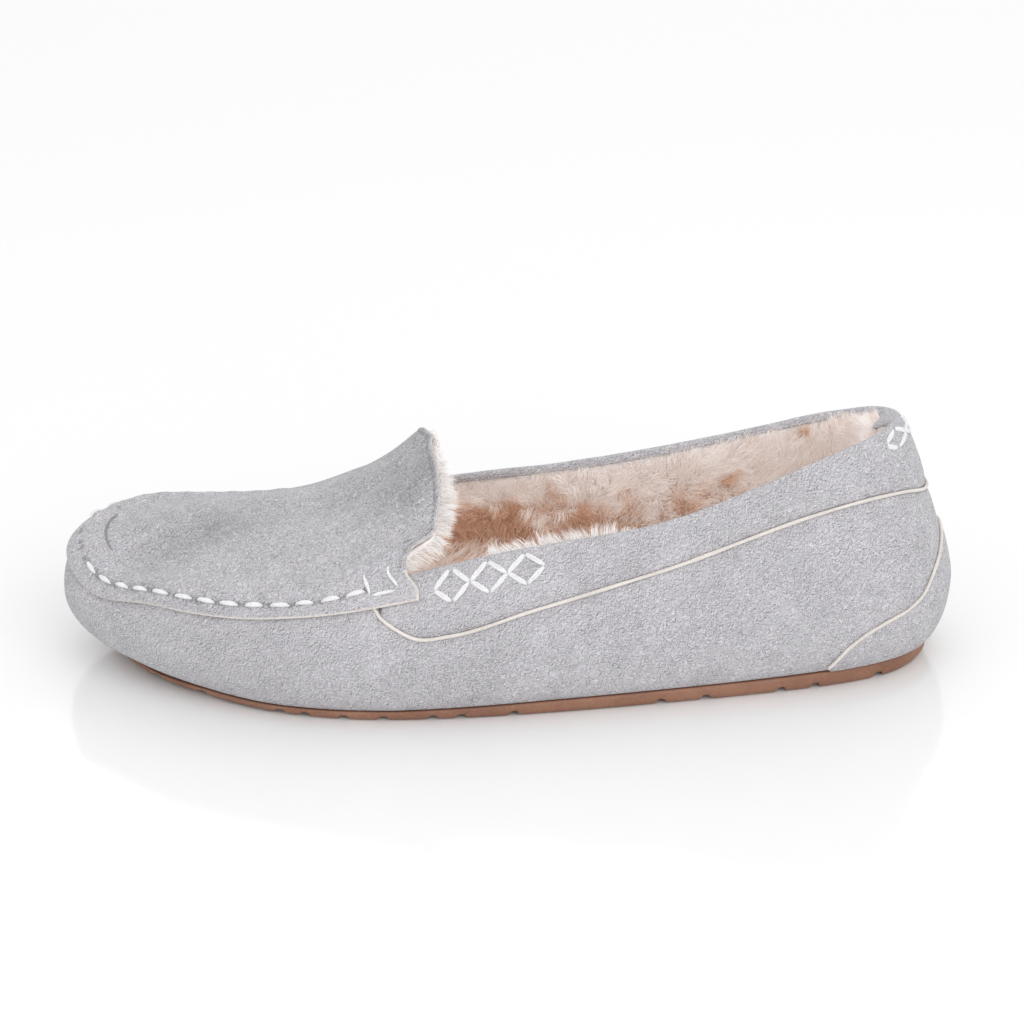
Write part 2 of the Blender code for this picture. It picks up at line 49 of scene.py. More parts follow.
CENTRING = np.array([-0.86, -0.42, 0.0])  # the CAD part's outline is centred by this shift
UP = np.array([0.0, 0.0, 1.0])

# ---------------- the last, as in the CAD part
# One station every sixteenth of the way round from the heel back by the outer side.  Columns:
# x and y of the feather edge, bulge past it, height of the bulge, how far the top edge stands
# out past the feather edge, height of the top edge, roundness of the upper half.
STATIONS = (
    (122.6, 0.0, 5.6, 23.5, -9.8, 74.0, 0.22),
    (112.5, -19.0, 5.5, 24.0, -7.0, 75.0, 0.30),
    (84.0, -29.5, 5.5, 23.0, -3.0, 69.0, 0.42),
    (45.0, -36.0, 5.0, 22.0, -5.0, 55.5, 0.45),
    (5.0, -41.0, 5.0, 21.0, -8.0, 49.4, 0.50),
    (-34.0, -42.5, 5.5, 20.0, -6.5, 42.8, 0.70),
    (-68.0, -36.0, 6.5, 19.5, -2.5, 36.7, 0.85),
    (-96.0, -18.0, 10.4, 19.5, 1.5, 34.9, 0.88),
    (-113.0, 8.0, 15.3, 20.0, 4.2, 35.8, 0.95),
    (-103.0, 28.0, 9.9, 19.5, 1.8, 38.3, 0.88),
    (-76.0, 40.0, 6.5, 19.5, -2.5, 34.4, 0.85),
    (-42.0, 43.0, 5.5, 20.0, -6.0, 38.2, 0.70),
    (0.0, 35.0, 6.0, 21.0, -6.5, 46.5, 0.50),
    (42.0, 29.5, 5.5, 22.0, -3.5, 53.0, 0.45),
    (84.0, 29.0, 5.5, 23.0, -3.0, 61.5, 0.42),
    (112.5, 19.0, 5.5, 24.0, -7.0, 70.5, 0.30),
)
BULGE, BULGE_Z, TOP_OUT, TOP_Z, ROUND = range(2, 7)
FOOT_LEAN, FOOT_FULLNESS = 0.3, 0.95  # how the side leaves the sole on its way to the bulge
TOE_DIP, DIP_AT, DIP_WIDTH = 3.6, 0.468, 0.024  # the ridge sags round the outer toe
LIP_SLOPE = 5.0  # past the ridge the face turns in this far for each level

SOLE_BOTTOM = ((-130.0, 3.6), (-100.0, 1.6), (-70.0, 0.5), (-45.0, 0.0), (112.0, 0.0), (130.0, 1.4))
SOLE_TOP = ((-130.0, 5.6), (-100.0, 3.4), (-70.0, 2.8), (-34.0, 3.0), (10.0, 4.2), (60.0, 4.8), (130.0, 5.8))
GROOVES = (-101.0, -88.0, -66.0, -59.0, -48.0, -37.0, -23.0, -15.0, 0.0, 42.0, 55.0, 77.0, 87.0, 106.0)
GAP = 0.3
LASTING_MARGIN = 10.0
SUEDE = 1.4

EAR = 0.300  # where the plug's outer ear ends
EAR_LIFT = 3.8  # the ear stands up this far before it turns in
EAR_STAND = 0.10  # the part of the plug's half width that stands
EAR_LEAN = 0.0060  # the share by which the ear leans forward at its top
SPINE_TOE = (-92.0, 9.0, 40.5)
SPINE_THROAT = (-20.2, -2.0, 69.8)
SPINE_RISE, SPINE_POWER = 1.5, 3.8  # the even part of the crown's climb, and how late the rest comes
CROWN_NEAR, CROWN_FAR = 2.0, 1.9  # fullness of the plug's outer and inner half
THROAT_BOW = 7.6
FURROW_OUTER, FURROW_INNER, FURROW_TOE = 0.7, 2.2, 2.4  # depth of the furrow inside the ridge
FURROW_AT = 5.0
SLIT_DEPTH, SLIT_WIDTH, SLIT_AT = 1.0, 0.45, 1.5
OVERLAP_DROP = ((0.0, 6.8), (0.30, 6.8), (0.33, 6.2), (0.365, 5.4), (0.42, 5.4), (0.45, 4.8), (0.5, 4.8))
SEAM_DROP = ((0.0, 2.4), (0.325, 2.4), (0.345, 2.9), (0.38, 2.4), (0.42, 2.4), (0.46, 1.9), (0.5, 1.4))
SEAM_INNER_DROP = 0.9  # the seam lies this much lower past the toe
COLLAR_DROP = ((0.0, 22.4), (0.03, 21.5), (0.066, 18.2), (0.11, 14.9), (0.16, 12.3), (0.20, 12.6),
               (0.25, 15.6), (0.287, 17.5), (0.302, 16.2), (0.312, 12.0), (0.318, 8.8))
COLLAR_END = COLLAR_DROP[-1][0]
PATCH_TOP = ((0.0, 38.8), (0.014, 37.8), (0.03, 34.8), (0.044, 30.8), (0.056, 25.5), (0.068, 22.5),
             (0.085, 19.8), (0.098, 16.6), (0.107, 12.4), (0.1135, 7.0))
PATCH_END = PATCH_TOP[-1][0]
DIAMOND_PLACE = 0.2685


def smooth(low, high, value):
    """A smooth step from 0 at low to 1 at high."""
    part = np.clip((value - low) / (high - low), 0, 1)
    return part * part * (3 - 2 * part)


def bell(value, width):
    """1 where the value is 0, fading over width either way."""
    return np.exp(-(value / width) ** 2)


def length(vectors):
    return np.linalg.norm(vectors, axis=-1)


def unit(vectors):
    return vectors / np.maximum(length(vectors)[..., None], 1e-9)


def closed_spline(values, share):
    """A smooth closed curve through evenly spaced values, read at a share 0..1 of the way."""
    values = np.asarray(values, float)
    count = len(values)
    matrix = 4 * np.eye(count) + np.roll(np.eye(count), 1, 0) + np.roll(np.eye(count), -1, 0)
    bend = np.linalg.solve(matrix, 6 * (np.roll(values, -1, 0) - 2 * values + np.roll(values, 1, 0)))
    place = np.mod(np.asarray(share, float), 1.0) * count
    low = np.floor(place).astype(int) % count
    high = (low + 1) % count
    part = place - np.floor(place)
    if values.ndim > 1:
        part = part[..., None]
    line = values[low] * (1 - part) + values[high] * part
    return line + ((1 - part) ** 3 - (1 - part)) * bend[low] / 6 + (part ** 3 - part) * bend[high] / 6


def open_spline(points, at):
    """A smooth height curve through (place, height) points."""
    places, heights = np.array(points, float).T
    slopes = np.gradient(heights, places)
    at = np.clip(at, places[0], places[-1])
    low = np.clip(np.searchsorted(places, at, side="right") - 1, 0, len(places) - 2)
    width = places[low + 1] - places[low]
    part = (at - places[low]) / width
    rise = heights[low + 1] - heights[low]
    start = slopes[low] * width - rise
    end = rise - slopes[low + 1] * width
    return heights[low] + part * rise + part * (1 - part) * ((1 - part) * start + part * end)


def arc(start, middle, end, part):
    return (1 - part) ** 2 * start + 2 * part * (1 - part) * middle + part ** 2 * end


def station(column, share):
    value = closed_spline([row[column] for row in STATIONS], share)
    if column == TOP_Z:
        value = value - TOE_DIP * bell(np.mod(share, 1.0) - DIP_AT, DIP_WIDTH)
    return value


def feather(share):
    """The feather edge, where the side meets the sole."""
    return closed_spline([row[:2] for row in STATIONS], share)


def sideways(share):
    """The outward direction in plan."""
    ahead = unit(feather(np.asarray(share) + 1e-4) - feather(np.asarray(share) - 1e-4))
    return np.stack([-ahead[..., 1], ahead[..., 0]], -1)


def height_along(table, x):
    return np.interp(x, *np.array(table).T)


def floor_of_upper(x):
    return height_along(SOLE_TOP, x) + GAP


def fold_share(share):
    """The share counted from the heel, whichever way round."""
    share = np.mod(share, 1.0)
    return np.minimum(share, 1.0 - share)


def heel_share(share):
    """1 at the middle of the heel, fading to 0 along the sides."""
    return bell(fold_share(share), 0.04)


def plug_part(share):
    """0 at the toe, 1 at either ear of the plug."""
    return np.clip(np.abs(share - 0.5) / (0.5 - EAR), 0, 1)


def crown_line(part):
    """The plug's middle line, from its toe end (0) to the throat (1)."""
    toe, throat = np.array(SPINE_TOE), np.array(SPINE_THROAT)
    point = toe + (throat - toe) * part[..., None]
    point[..., 2] = toe[2] + SPINE_RISE * part + (throat[2] - toe[2] - SPINE_RISE) * part ** SPINE_POWER
    return point


def plug_way(share, level):
    """The plug's ears lean forward towards their tops; a small shift of share does it."""
    lean = EAR_LEAN * smooth(0.85, 1.0, plug_part(share)) * smooth(1.72, 2.0, level)
    return np.where(share < 0.5, share + lean, share - lean)


def cap_point(share, inward):
    """The plug's face: from the moccasin ridge (0) in to the crown line (1)."""
    inward = np.clip(inward, 0, 1)
    along = plug_part(share)
    ridge = upper_point(plug_way(share, 2.0), 2.0)
    way_in = crown_line(along) - ridge
    standing = smooth(0.70, 1.0, along)
    stand = EAR_STAND * standing
    across = np.clip((inward - stand) / (1 - stand), 0, 1)
    lift = EAR_LIFT * standing * np.where(stand > 1e-6, np.clip(inward / np.maximum(stand, 1e-6), 0, 1), 0)
    point = ridge + way_in * across[..., None]
    reach = length(way_in[..., :2]) * across / FURROW_AT
    outer_side = smooth(-0.03, 0.03, 0.5 - share)
    depth = FURROW_INNER + (FURROW_OUTER - FURROW_INNER) * outer_side
    depth = FURROW_TOE + (depth - FURROW_TOE) * smooth(0.05, 0.4, along)
    furrow = depth * (1 - along ** 2) * reach * np.exp(1 - reach)
    slit_fade = 1 - smooth(0.12, 0.3, np.where(share < 0.5, along, along * 0.35))
    furrow = furrow + SLIT_DEPTH * slit_fade * bell(reach * FURROW_AT - SLIT_AT, SLIT_WIDTH)
    climb = 1 - (1 - across) ** (CROWN_FAR + (CROWN_NEAR - CROWN_FAR) * outer_side)
    point[..., 2] = ridge[..., 2] + lift + (way_in[..., 2] - lift) * climb - furrow
    bow = smooth(0.0, 0.14, across) * (1 - smooth(0.25, 1.0, across))
    point[..., 0] += THROAT_BOW * smooth(0.45, 1.0, along) * bow
    return point


def upper_point(share, level):
    """A point of the upper: -1..0 lasting margin, 0..1 to the bulge, 1..2 to the ridge, then its lip."""
    share, level = np.broadcast_arrays(np.asarray(share, float), np.asarray(level, float))
    edge, out = feather(share), sideways(share)
    bulge, bulge_z = station(BULGE, share), station(BULGE_Z, share)
    top_out, top_z = station(TOP_OUT, share), station(TOP_Z, share)
    base_z = floor_of_upper(edge[..., 0])
    low, high = np.clip(level, 0, 1), np.clip(level - 1, 0, 1)
    shift = np.where(level <= 1, arc(0, FOOT_FULLNESS * bulge, bulge, low), arc(bulge, bulge, top_out, high))
    lean = base_z + FOOT_LEAN * (bulge_z - base_z)
    shoulder = bulge_z + station(ROUND, share) * (top_z - bulge_z)
    z = np.where(level <= 1, arc(base_z, lean, bulge_z, low), arc(bulge_z, shoulder, top_z, high))
    shift = shift + LASTING_MARGIN * np.minimum(level, 0) - LIP_SLOPE * np.maximum(level - 2, 0)
    plan = edge + out * shift[..., None]
    z = np.where(level < 0, floor_of_upper(plan[..., 0]), z)
    return np.concatenate([plan, z[..., None]], -1)


def outward(share, level):
    """The outward direction of the upper's face."""
    share, level = np.broadcast_arrays(np.asarray(share, float), np.asarray(level, float))
    round_step = upper_point(share + 1e-3, level) - upper_point(share - 1e-3, level)
    up_step = upper_point(share, level + 0.03) - upper_point(share, level - 0.03)
    return unit(np.cross(up_step, round_step))


def level_at(share, z):
    """The level at which the upper's side reaches a height."""
    base_z = floor_of_upper(feather(share)[..., 0])
    bulge_z, top_z = station(BULGE_Z, share), station(TOP_Z, share)
    high = z > bulge_z
    start = np.where(high, bulge_z, base_z)
    end = np.where(high, top_z, bulge_z)
    lean = np.where(high, station(ROUND, share), FOOT_LEAN)
    bend = (end - start) * (1 - 2 * lean)
    bend = np.where(np.abs(bend) < 1e-6, 1e-6, bend)
    rise = 2 * lean * (end - start)
    part = (-rise + np.sqrt(np.maximum(rise ** 2 + 4 * bend * (z - start), 0))) / (2 * bend)
    return np.where(high, 1.0, 0.0) + np.clip(part, 0, 1)


def below_ridge(share, drop):
    return level_at(share, station(TOP_Z, share) - drop)


def seam_line(share, lower=0.0):
    """The moccasin seam, just outside the ridge."""
    inner = SEAM_INNER_DROP * smooth(0.52, 0.56, share)
    return below_ridge(share, height_along(SEAM_DROP, fold_share(share)) + inner + lower)


def collar_line(share):
    return below_ridge(share, open_spline(COLLAR_DROP, fold_share(share)))


def patch_line(share):
    return level_at(share, open_spline(PATCH_TOP, fold_share(share)))


def travelled(points):
    """Distance along a line of points, measured from its first."""
    return np.concatenate([[0.0], np.cumsum(length(np.diff(points, axis=0)))])


# ---------------- noise and mesh helpers

def soft_noise(points, size, seed):
    """Smooth noise from -1 to 1, its lumps about size millimetres across."""
    table = np.random.default_rng(seed).uniform(-1, 1, 4096)
    cell = np.asarray(points) / size
    low = np.floor(cell).astype(np.int64)
    part = cell - low
    part = part * part * (3 - 2 * part)
    total = np.zeros(cell.shape[:-1])
    for corner in itertools.product((0, 1), repeat=3):
        key = ((low[..., 0] + corner[0]) * 73856093 ^ (low[..., 1] + corner[1]) * 19349663
               ^ (low[..., 2] + corner[2]) * 83492791)
        weight = np.ones(cell.shape[:-1])
        for axis in range(3):
            weight = weight * (part[..., axis] if corner[axis] else 1 - part[..., axis])
        total += weight * table[key % 4096]
    return total


def add_object(name, data):
    """An object in the scene."""
    made = bpy.data.objects.new(name, data)
    bpy.context.scene.collection.objects.link(made)
    return made


def new_mesh(name, points, quads, triangles, materials, spots=None):
    """An object from arrays of points, quads and triangles, all in one go."""
    mesh = bpy.data.meshes.new(name)
    points = (points + CENTRING) * MM
    mesh.vertices.add(len(points))
    mesh.vertices.foreach_set("co", points.astype(np.float32).ravel())
    corners = np.concatenate([quads.ravel(), triangles.ravel()])
    mesh.loops.add(len(corners))
    mesh.loops.foreach_set("vertex_index", corners.astype(np.int32))
    mesh.polygons.add(len(quads) + len(triangles))
    starts = np.concatenate([np.arange(len(quads)) * 4, quads.size + np.arange(len(triangles)) * 3])
    mesh.polygons.foreach_set("loop_start", starts.astype(np.int32))
    mesh.update(calc_edges=True)
    mesh.validate()
    mesh.shade_smooth()
    for material in materials:
        mesh.materials.append(material)
    if spots is not None:
        mesh.polygons.foreach_set("material_index", spots.astype(np.int32))
    made = add_object(name, mesh)
    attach(made, "root")
    return made


def mark(piece, name, values):
    """A number for each vertex, which a material reads by name."""
    layer = piece.data.attributes.new(name, "FLOAT", "POINT")
    layer.data.foreach_set("value", np.asarray(values, np.float32).ravel())


def stand_for(piece, slot, *nodes):
    """The piece takes the place of CAD nodes, which it hides; slot is not used."""
    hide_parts(*nodes)


def quads_between(number):
    """The quads between the neighbours of a grid of point numbers."""
    corners = (number[:-1, :-1], number[:-1, 1:], number[1:, 1:], number[1:, :-1])
    return np.stack(corners, -1).reshape(-1, 4)


def grid_quads(rows, columns, closed=False):
    """Quads of a grid of points; a closed one also joins its last row to its first."""
    number = np.arange(rows * columns).reshape(rows, columns)
    return quads_between(np.concatenate([number, number[:1]]) if closed else number)


def sewn_fan(rows, columns):
    """Quads of a grid whose last column is shared by each row and its mirror row."""
    number = np.arange(rows * columns).reshape(rows, columns)
    half = rows // 2
    number[half:, -1] = number[::-1, -1][half:]
    return quads_between(number)


def shell(name, outer, inner, quads, material):
    """A closed solid between two matching grids of points."""
    outer, inner = outer.reshape(-1, 3), inner.reshape(-1, 3)
    ends = np.stack([quads, np.roll(quads, -1, 1)], -1).reshape(-1, 2)
    ends = ends[ends[:, 0] != ends[:, 1]]
    _, first, uses = np.unique(np.sort(ends, 1), axis=0, return_index=True, return_counts=True)
    rim = ends[first[uses == 1]]
    sides = np.stack([rim[:, 1], rim[:, 0], rim[:, 0] + len(outer), rim[:, 1] + len(outer)], -1)
    every = np.concatenate([quads, quads[:, ::-1] + len(outer), sides])
    pinched = (every[:, 2] == every[:, 3]) | (every[:, 0] == every[:, 3])
    return new_mesh(name, np.concatenate([outer, inner]), every[~pinched], every[pinched][:, :3], [material])


def weld(piece):
    """Drop the loose doubles left along a sewn line."""
    shape = bmesh.new()
    shape.from_mesh(piece.data)
    loose = [corner for corner in shape.verts if not corner.link_faces]
    bmesh.ops.delete(shape, geom=loose, context="VERTS")
    shape.to_mesh(piece.data)
    shape.free()


def tube(points, radii, sides, twist, ply):
    """Rings of points round a line, with an optional twisted-ply section."""
    ahead = unit(np.gradient(points, axis=0))
    side = np.zeros_like(points)
    side[0] = unit(np.cross(ahead[0], UP))
    for row in range(1, len(points)):
        side[row] = unit(side[row - 1] - ahead[row] * np.dot(side[row - 1], ahead[row]))
    up = np.cross(ahead, side)
    angle = np.linspace(0, 2 * math.pi, sides, endpoint=False)
    wave = 1 + ply * np.cos(2 * angle - twist * travelled(points)[:, None])
    radius = np.broadcast_to(radii, len(points))[:, None] * wave
    ring = (side[:, None] * np.cos(angle)[:, None] + up[:, None] * np.sin(angle)[:, None])
    return points[:, None] + ring * radius[..., None]


class Cords:
    """Collects tubes with closed ends and makes one object of them."""

    def __init__(self):
        self.points, self.quads, self.triangles, self.count = [], [], [], 0

    def add(self, line, radii, sides=10, twist=0.0, ply=0.0):
        rings = tube(line, radii, sides, twist, ply)
        number = self.count + np.arange(len(rings) * sides).reshape(-1, sides)
        number = np.concatenate([number, number[:, :1]], 1)
        tip = np.full(sides, self.count + len(rings) * sides)
        self.quads.append(quads_between(number))
        self.triangles.append(np.stack([number[0, 1:], number[0, :-1], tip], -1))
        self.triangles.append(np.stack([number[-1, :-1], number[-1, 1:], tip + 1], -1))
        self.points += [rings.reshape(-1, 3), np.array([line[0], line[-1]])]
        self.count += len(rings) * sides + 2

    def make(self, name, material, slot, node):
        made = new_mesh(name, *(np.concatenate(rows) for rows in (self.points, self.quads, self.triangles)),
                        [material])
        stand_for(made, slot, node)


# ---------------- skins: the panels' faces

def normals_of(points, closed=False, past=None):
    """Unit normals of a grid whose rows go round the shoe and whose columns climb."""
    if closed:
        round_step = np.roll(points, -1, 0) - np.roll(points, 1, 0)
    else:
        round_step = np.gradient(points, axis=0)
    if past is None:
        up_step = np.gradient(points, axis=1)
    else:
        up_step = np.gradient(np.concatenate([points, past[:, None]], 1), axis=1)[:, :-1]
    return unit(np.cross(up_step, round_step))


def from_edges(points, *sides):
    """Each grid point's distance to the nearest named side: low, high, first or last."""
    climb = np.cumsum(length(np.diff(points, axis=1, prepend=points[:, :1])), 1)
    run = np.cumsum(length(np.diff(points, axis=0, prepend=points[:1])), 0)
    ways = {"low": climb, "high": climb[:, -1:] - climb, "first": run, "last": run[-1:] - run}
    return np.min([ways[side] for side in sides], 0)


def rolled(distance, radius):
    """How far a rounded rim falls away at a distance from the edge."""
    inside = np.clip(distance, 0, radius)
    return radius - np.sqrt(np.maximum(radius ** 2 - (radius - inside) ** 2, 0))


def near_points(points, spots, width):
    """1 at each spot, fading over width; for dents and puckers."""
    total = np.zeros(points.shape[:-1])
    for spot in spots:
        gap = length(points - spot)
        near = gap < 4 * width
        total[near] = np.maximum(total[near], bell(gap[near], width))
    return total


def handled(points):
    """The soft unevenness of lasted suede, in millimetres."""
    return (0.34 * soft_noise(points, 36.0, 3) + 0.16 * soft_noise(points, 13.0, 4)
            + 0.05 * soft_noise(points, 5.0, 5))


class Skin:
    """A panel's face as a grid over (share, level), which seams and threads are laid on."""

    def __init__(self, shares, levels, points, closed=False, past=None):
        self.shares, self.levels, self.points = shares, levels, points
        self.normals = normals_of(points, closed, past)

    def raised(self, heights):
        return self.points + self.normals * np.asarray(heights)[..., None]

    def laid(self, share, level, height):
        """Points over places of the face, each at its height along the normal."""
        spots = []
        row = np.interp(share, self.shares, np.arange(len(self.shares)))
        for place, rise in zip(row, level):
            low = min(int(place), len(self.shares) - 2)
            both = []
            for near in (low, low + 1):
                column = np.interp(rise, self.levels[near], np.arange(self.levels.shape[1]))
                left = min(int(column), self.levels.shape[1] - 2)
                part = column - left
                both.append([grid[near, left] * (1 - part) + grid[near, left + 1] * part
                             for grid in (self.points, self.normals)])
            part = place - low
            spots.append(np.array(both[0]) * (1 - part) + np.array(both[1]) * part)
        points, normals = np.array(spots).transpose(1, 0, 2)
        return points + unit(normals) * np.broadcast_to(height, len(points))[:, None]


# ---------------- node materials

def fill(node, **values):
    """Set a node's input sockets; an underscore stands for a space in their names."""
    for name, value in values.items():
        node.inputs[name.replace("_", " ")].default_value = value


class Paint:
    """A Principled material with a short way to add procedural nodes."""

    def __init__(self, name, roughness, sheen=0.0, specular=0.3):
        self.material = bpy.data.materials.new(name)
        self.material.use_nodes = True
        self.tree = self.material.node_tree
        self.shader = self.tree.nodes["Principled BSDF"]
        fill(self.shader, Roughness=roughness, Specular_IOR_Level=specular, Sheen_Weight=sheen,
             Sheen_Roughness=0.6)
        self.place = self.node("ShaderNodeTexCoord").outputs["Object"]

    def node(self, kind, **settings):
        made = self.tree.nodes.new(kind)
        for name, value in settings.items():
            setattr(made, name, value)
        return made

    def join(self, source, target):
        self.tree.links.new(source, target)

    def noise(self, size, detail=2.0, roughness=0.5, distortion=0.0, moved=None):
        """Noise from 0 to 1 with lumps about size millimetres across, moved by some millimetres."""
        made = self.node("ShaderNodeTexNoise")
        place = self.place
        if moved:
            shift = self.node("ShaderNodeVectorMath", operation="ADD")
            shift.inputs[1].default_value = [step * MM for step in moved]
            self.join(place, shift.inputs[0])
            place = shift.outputs[0]
        fill(made, Scale=1.0 / (size * MM), Detail=detail, Roughness=roughness, Distortion=distortion)
        self.join(place, made.inputs["Vector"])
        return made.outputs["Fac"]

    def number(self, name):
        """A number marked on the vertices."""
        return self.node("ShaderNodeAttribute", attribute_name=name).outputs["Fac"]

    def maths(self, operation, first, second):
        made = self.node("ShaderNodeMath", operation=operation)
        for socket, value in zip(made.inputs, (first, second)):
            if isinstance(value, (int, float)):
                socket.default_value = value
            else:
                self.join(value, socket)
        return made.outputs[0]

    def ramp(self, source, *stops):
        """A colour ramp; each of its two stops is a place and a linear colour."""
        made = self.node("ShaderNodeValToRGB")
        for element, (place, colour) in zip(made.color_ramp.elements, stops):
            element.position = place
            element.color = (*colour, 1.0)
        self.join(source, made.inputs["Fac"])
        return made.outputs["Color"]

    def mix(self, factor, first, second):
        """Two colours mixed; each is a plain colour or comes from a node."""
        made = self.node("ShaderNodeMix", data_type="RGBA")
        for socket, value in zip((made.inputs[0], made.inputs[6], made.inputs[7]), (factor, first, second)):
            if isinstance(value, tuple):
                socket.default_value = (*value, 1.0)
            else:
                self.join(value, socket)
        return made.outputs[2]

    def colour(self, source):
        self.join(source, self.shader.inputs["Base Color"])

    def bump(self, height, strength, depth, below=None):
        """A bump of depth millimetres."""
        made = self.node("ShaderNodeBump")
        fill(made, Strength=strength, Distance=depth * MM)
        self.join(height, made.inputs["Height"])
        if below is not None:
            self.join(below, made.inputs["Normal"])
        self.join(made.outputs["Normal"], self.shader.inputs["Normal"])
        return made.outputs["Normal"]


def suede_material():
    """Short brushed nap whose crinkles carry painted light and shade; shade darkens it and rim shows the pale
    cut edge.
    """
    paint = Paint("suede", 0.92, sheen=0.25, specular=0.12)
    nap = paint.noise(0.95, 1.0, 0.5, 1.6)
    # The nap less a copy of it moved a fraction of a millimetre: painted light and shade, as if light fell on
    # the crinkles from one side.
    shifted_nap = paint.noise(0.95, 1.0, 0.5, 1.6, (-0.2, 0.1, 0.2))
    fine = paint.noise(0.5, 1.0, 0.5, 0.4)
    brushed = paint.noise(6.0, 2.0, 0.55, 0.3)
    worn = paint.noise(26.0, 2.0, 0.5, 0.4)
    painted_relief = paint.maths("ADD", paint.maths("SUBTRACT", nap, shifted_nap), 0.5)
    tone = 0.5
    for source, weight in ((painted_relief, 0.8), (nap, 0.28), (fine, 0.30), (brushed, 0.20), (worn, 0.18)):
        offset = paint.maths("MULTIPLY", paint.maths("SUBTRACT", source, 0.5), weight)
        tone = paint.maths("ADD", offset, tone)
    tone = paint.maths("SUBTRACT", tone, paint.maths("MULTIPLY", paint.number("shade"), 0.22))
    suede = paint.ramp(tone, (0.18, (0.24, 0.233, 0.248)), (0.82, (0.72, 0.705, 0.74)))
    paint.colour(paint.mix(paint.number("rim"), suede, (0.80, 0.73, 0.68)))
    paint.bump(fine, 0.6, 0.25, paint.bump(nap, 1.0, 0.6))
    return paint.material


def fur_material(name, pale, dark, painted_glow):
    """Strands from their roots to their tips, shaded by tone; painted_glow is an emission that stands in for
    the light that soaks through the fur.
    """
    paint = Paint(name, 0.85, specular=0.08)
    tips, roots = (paint.ramp(paint.number("along"), *stops) for stops in (pale, dark))
    paint.colour(paint.mix(paint.number("tone"), tips, roots))
    fill(paint.shader, Emission_Color=(*painted_glow[0], 1.0), Emission_Strength=painted_glow[1])
    return paint.material


def pile_material():
    """The knitted backing that the fur grows from."""
    paint = Paint("pile", 0.95, sheen=0.3, specular=0.1)
    clump = paint.noise(2.6, 3.0, 0.6, 0.8)
    pale = paint.ramp(clump, (0.3, (0.80, 0.73, 0.70)), (0.7, (0.90, 0.87, 0.86)))
    brown = paint.ramp(clump, (0.3, (0.55, 0.34, 0.22)), (0.7, (0.82, 0.62, 0.48)))
    paint.colour(paint.mix(paint.number("tone"), pale, brown))
    paint.bump(clump, 0.8, 1.2)
    return paint.material


def flecked(name, dark, light, fleck, patch, part, bump, **finish):
    """A ground mottled by flecks, which also raise it, and by patches; part is the flecks' weight."""
    paint = Paint(name, **finish)
    flecks = paint.noise(*fleck)
    small = paint.maths("MULTIPLY", flecks, part)
    large = paint.maths("MULTIPLY", paint.noise(patch), 1 - part)
    paint.colour(paint.ramp(paint.maths("ADD", small, large), (0.3, dark), (0.7, light)))
    paint.bump(flecks, *bump)
    return paint.material


SUEDE_PAINT = suede_material()
# Each fur material carries a painted_glow, an emission in place of the light that soaks through real fur.
FUR_PAINT = fur_material("fur", ((0.0, (0.85, 0.79, 0.75)), (0.6, (0.90, 0.875, 0.865))),
                         ((0.0, (0.76, 0.60, 0.50)), (1.0, (0.87, 0.80, 0.75))), ((1.0, 0.87, 0.81), 0.12))
# The browner strands, for high tone: partly the fur's own random tone, partly painted shade deep in the
# lining and towards the toe.
BROWN_AND_SHADED_FUR_PAINT = fur_material("down", ((0.0, (0.76, 0.57, 0.46)), (1.0, (0.87, 0.74, 0.65))),
                          ((0.0, (0.62, 0.40, 0.28)), (1.0, (0.83, 0.65, 0.51))), ((1.0, 0.68, 0.50), 0.10))
# The paler copy of the fur, for strands that stand in the light at the near rim and along the throat: painted
# light.
LIT_FUR_PAINT = fur_material("tuft", ((0.0, (0.85, 0.81, 0.79)), (0.7, (0.90, 0.885, 0.88))),
                          ((0.0, (0.78, 0.70, 0.65)), (1.0, (0.86, 0.82, 0.80))), ((1.0, 0.94, 0.91), 0.05))
PILE_PAINT = pile_material()
THREAD_PAINT = flecked("thread", (0.66, 0.65, 0.66), (0.84, 0.83, 0.84), (0.5, 2.0, 0.6), 14.0, 1.0,
                       (0.4, 0.2), roughness=0.7, sheen=0.3)
PIPING_PAINT = flecked("piping", (0.58, 0.53, 0.49), (0.78, 0.74, 0.70), (0.7, 2.0, 0.6), 14.0, 0.5,
                       (0.5, 0.25), roughness=0.8, sheen=0.2, specular=0.2)
RUBBER_PAINT = flecked("outsole_rubber", (0.19, 0.085, 0.052), (0.335, 0.172, 0.112), (0.9, 3.0, 0.6),
                       18.0, 0.4, (0.4, 0.15), roughness=0.55, specular=0.35)

# ---------------- suede panels
EDGE = 0.55  # rounding of a cut edge
SEAM_DIP, SEAM_REACH = 0.45, 2.2  # how far a panel sinks towards its seam, and from how far
SEAM_PITCH, STITCH_LENGTH, STITCH_STRAY = 7.4, 5.6, 0.25
SEAM_FROM = 0.3235
PLUG_BASE = 0.25  # the plug's underside over the wall
PLUG_OUT = PLUG_BASE + SUEDE
SEAM_ROOM = 0.2  # half the gap at a piped seam
WALL_SPLIT = 1.2  # below this level the wall's grid is the same all round
WALL_DROP = 1.6  # the wall ends this far below the ridge, under the plug
PATCH_OUT, PATCH_BASE = 1.1, 0.05  # the heel patch's two faces over the wall
ROLL, HEEL_ROLL = 1.3, 1.7  # radius of the folded collar edge, and how much fatter it is at the heel
ROLL_TURN = math.radians(140)
COLLAR_PUFF = 0.5


def seam_dip(distance):
    return SEAM_DIP * bell(distance, SEAM_REACH)


def seam_clearance(shares):
    """Half a seam's gap as a difference of level."""
    return SEAM_ROOM / (station(TOP_Z, shares) - station(BULGE_Z, shares))


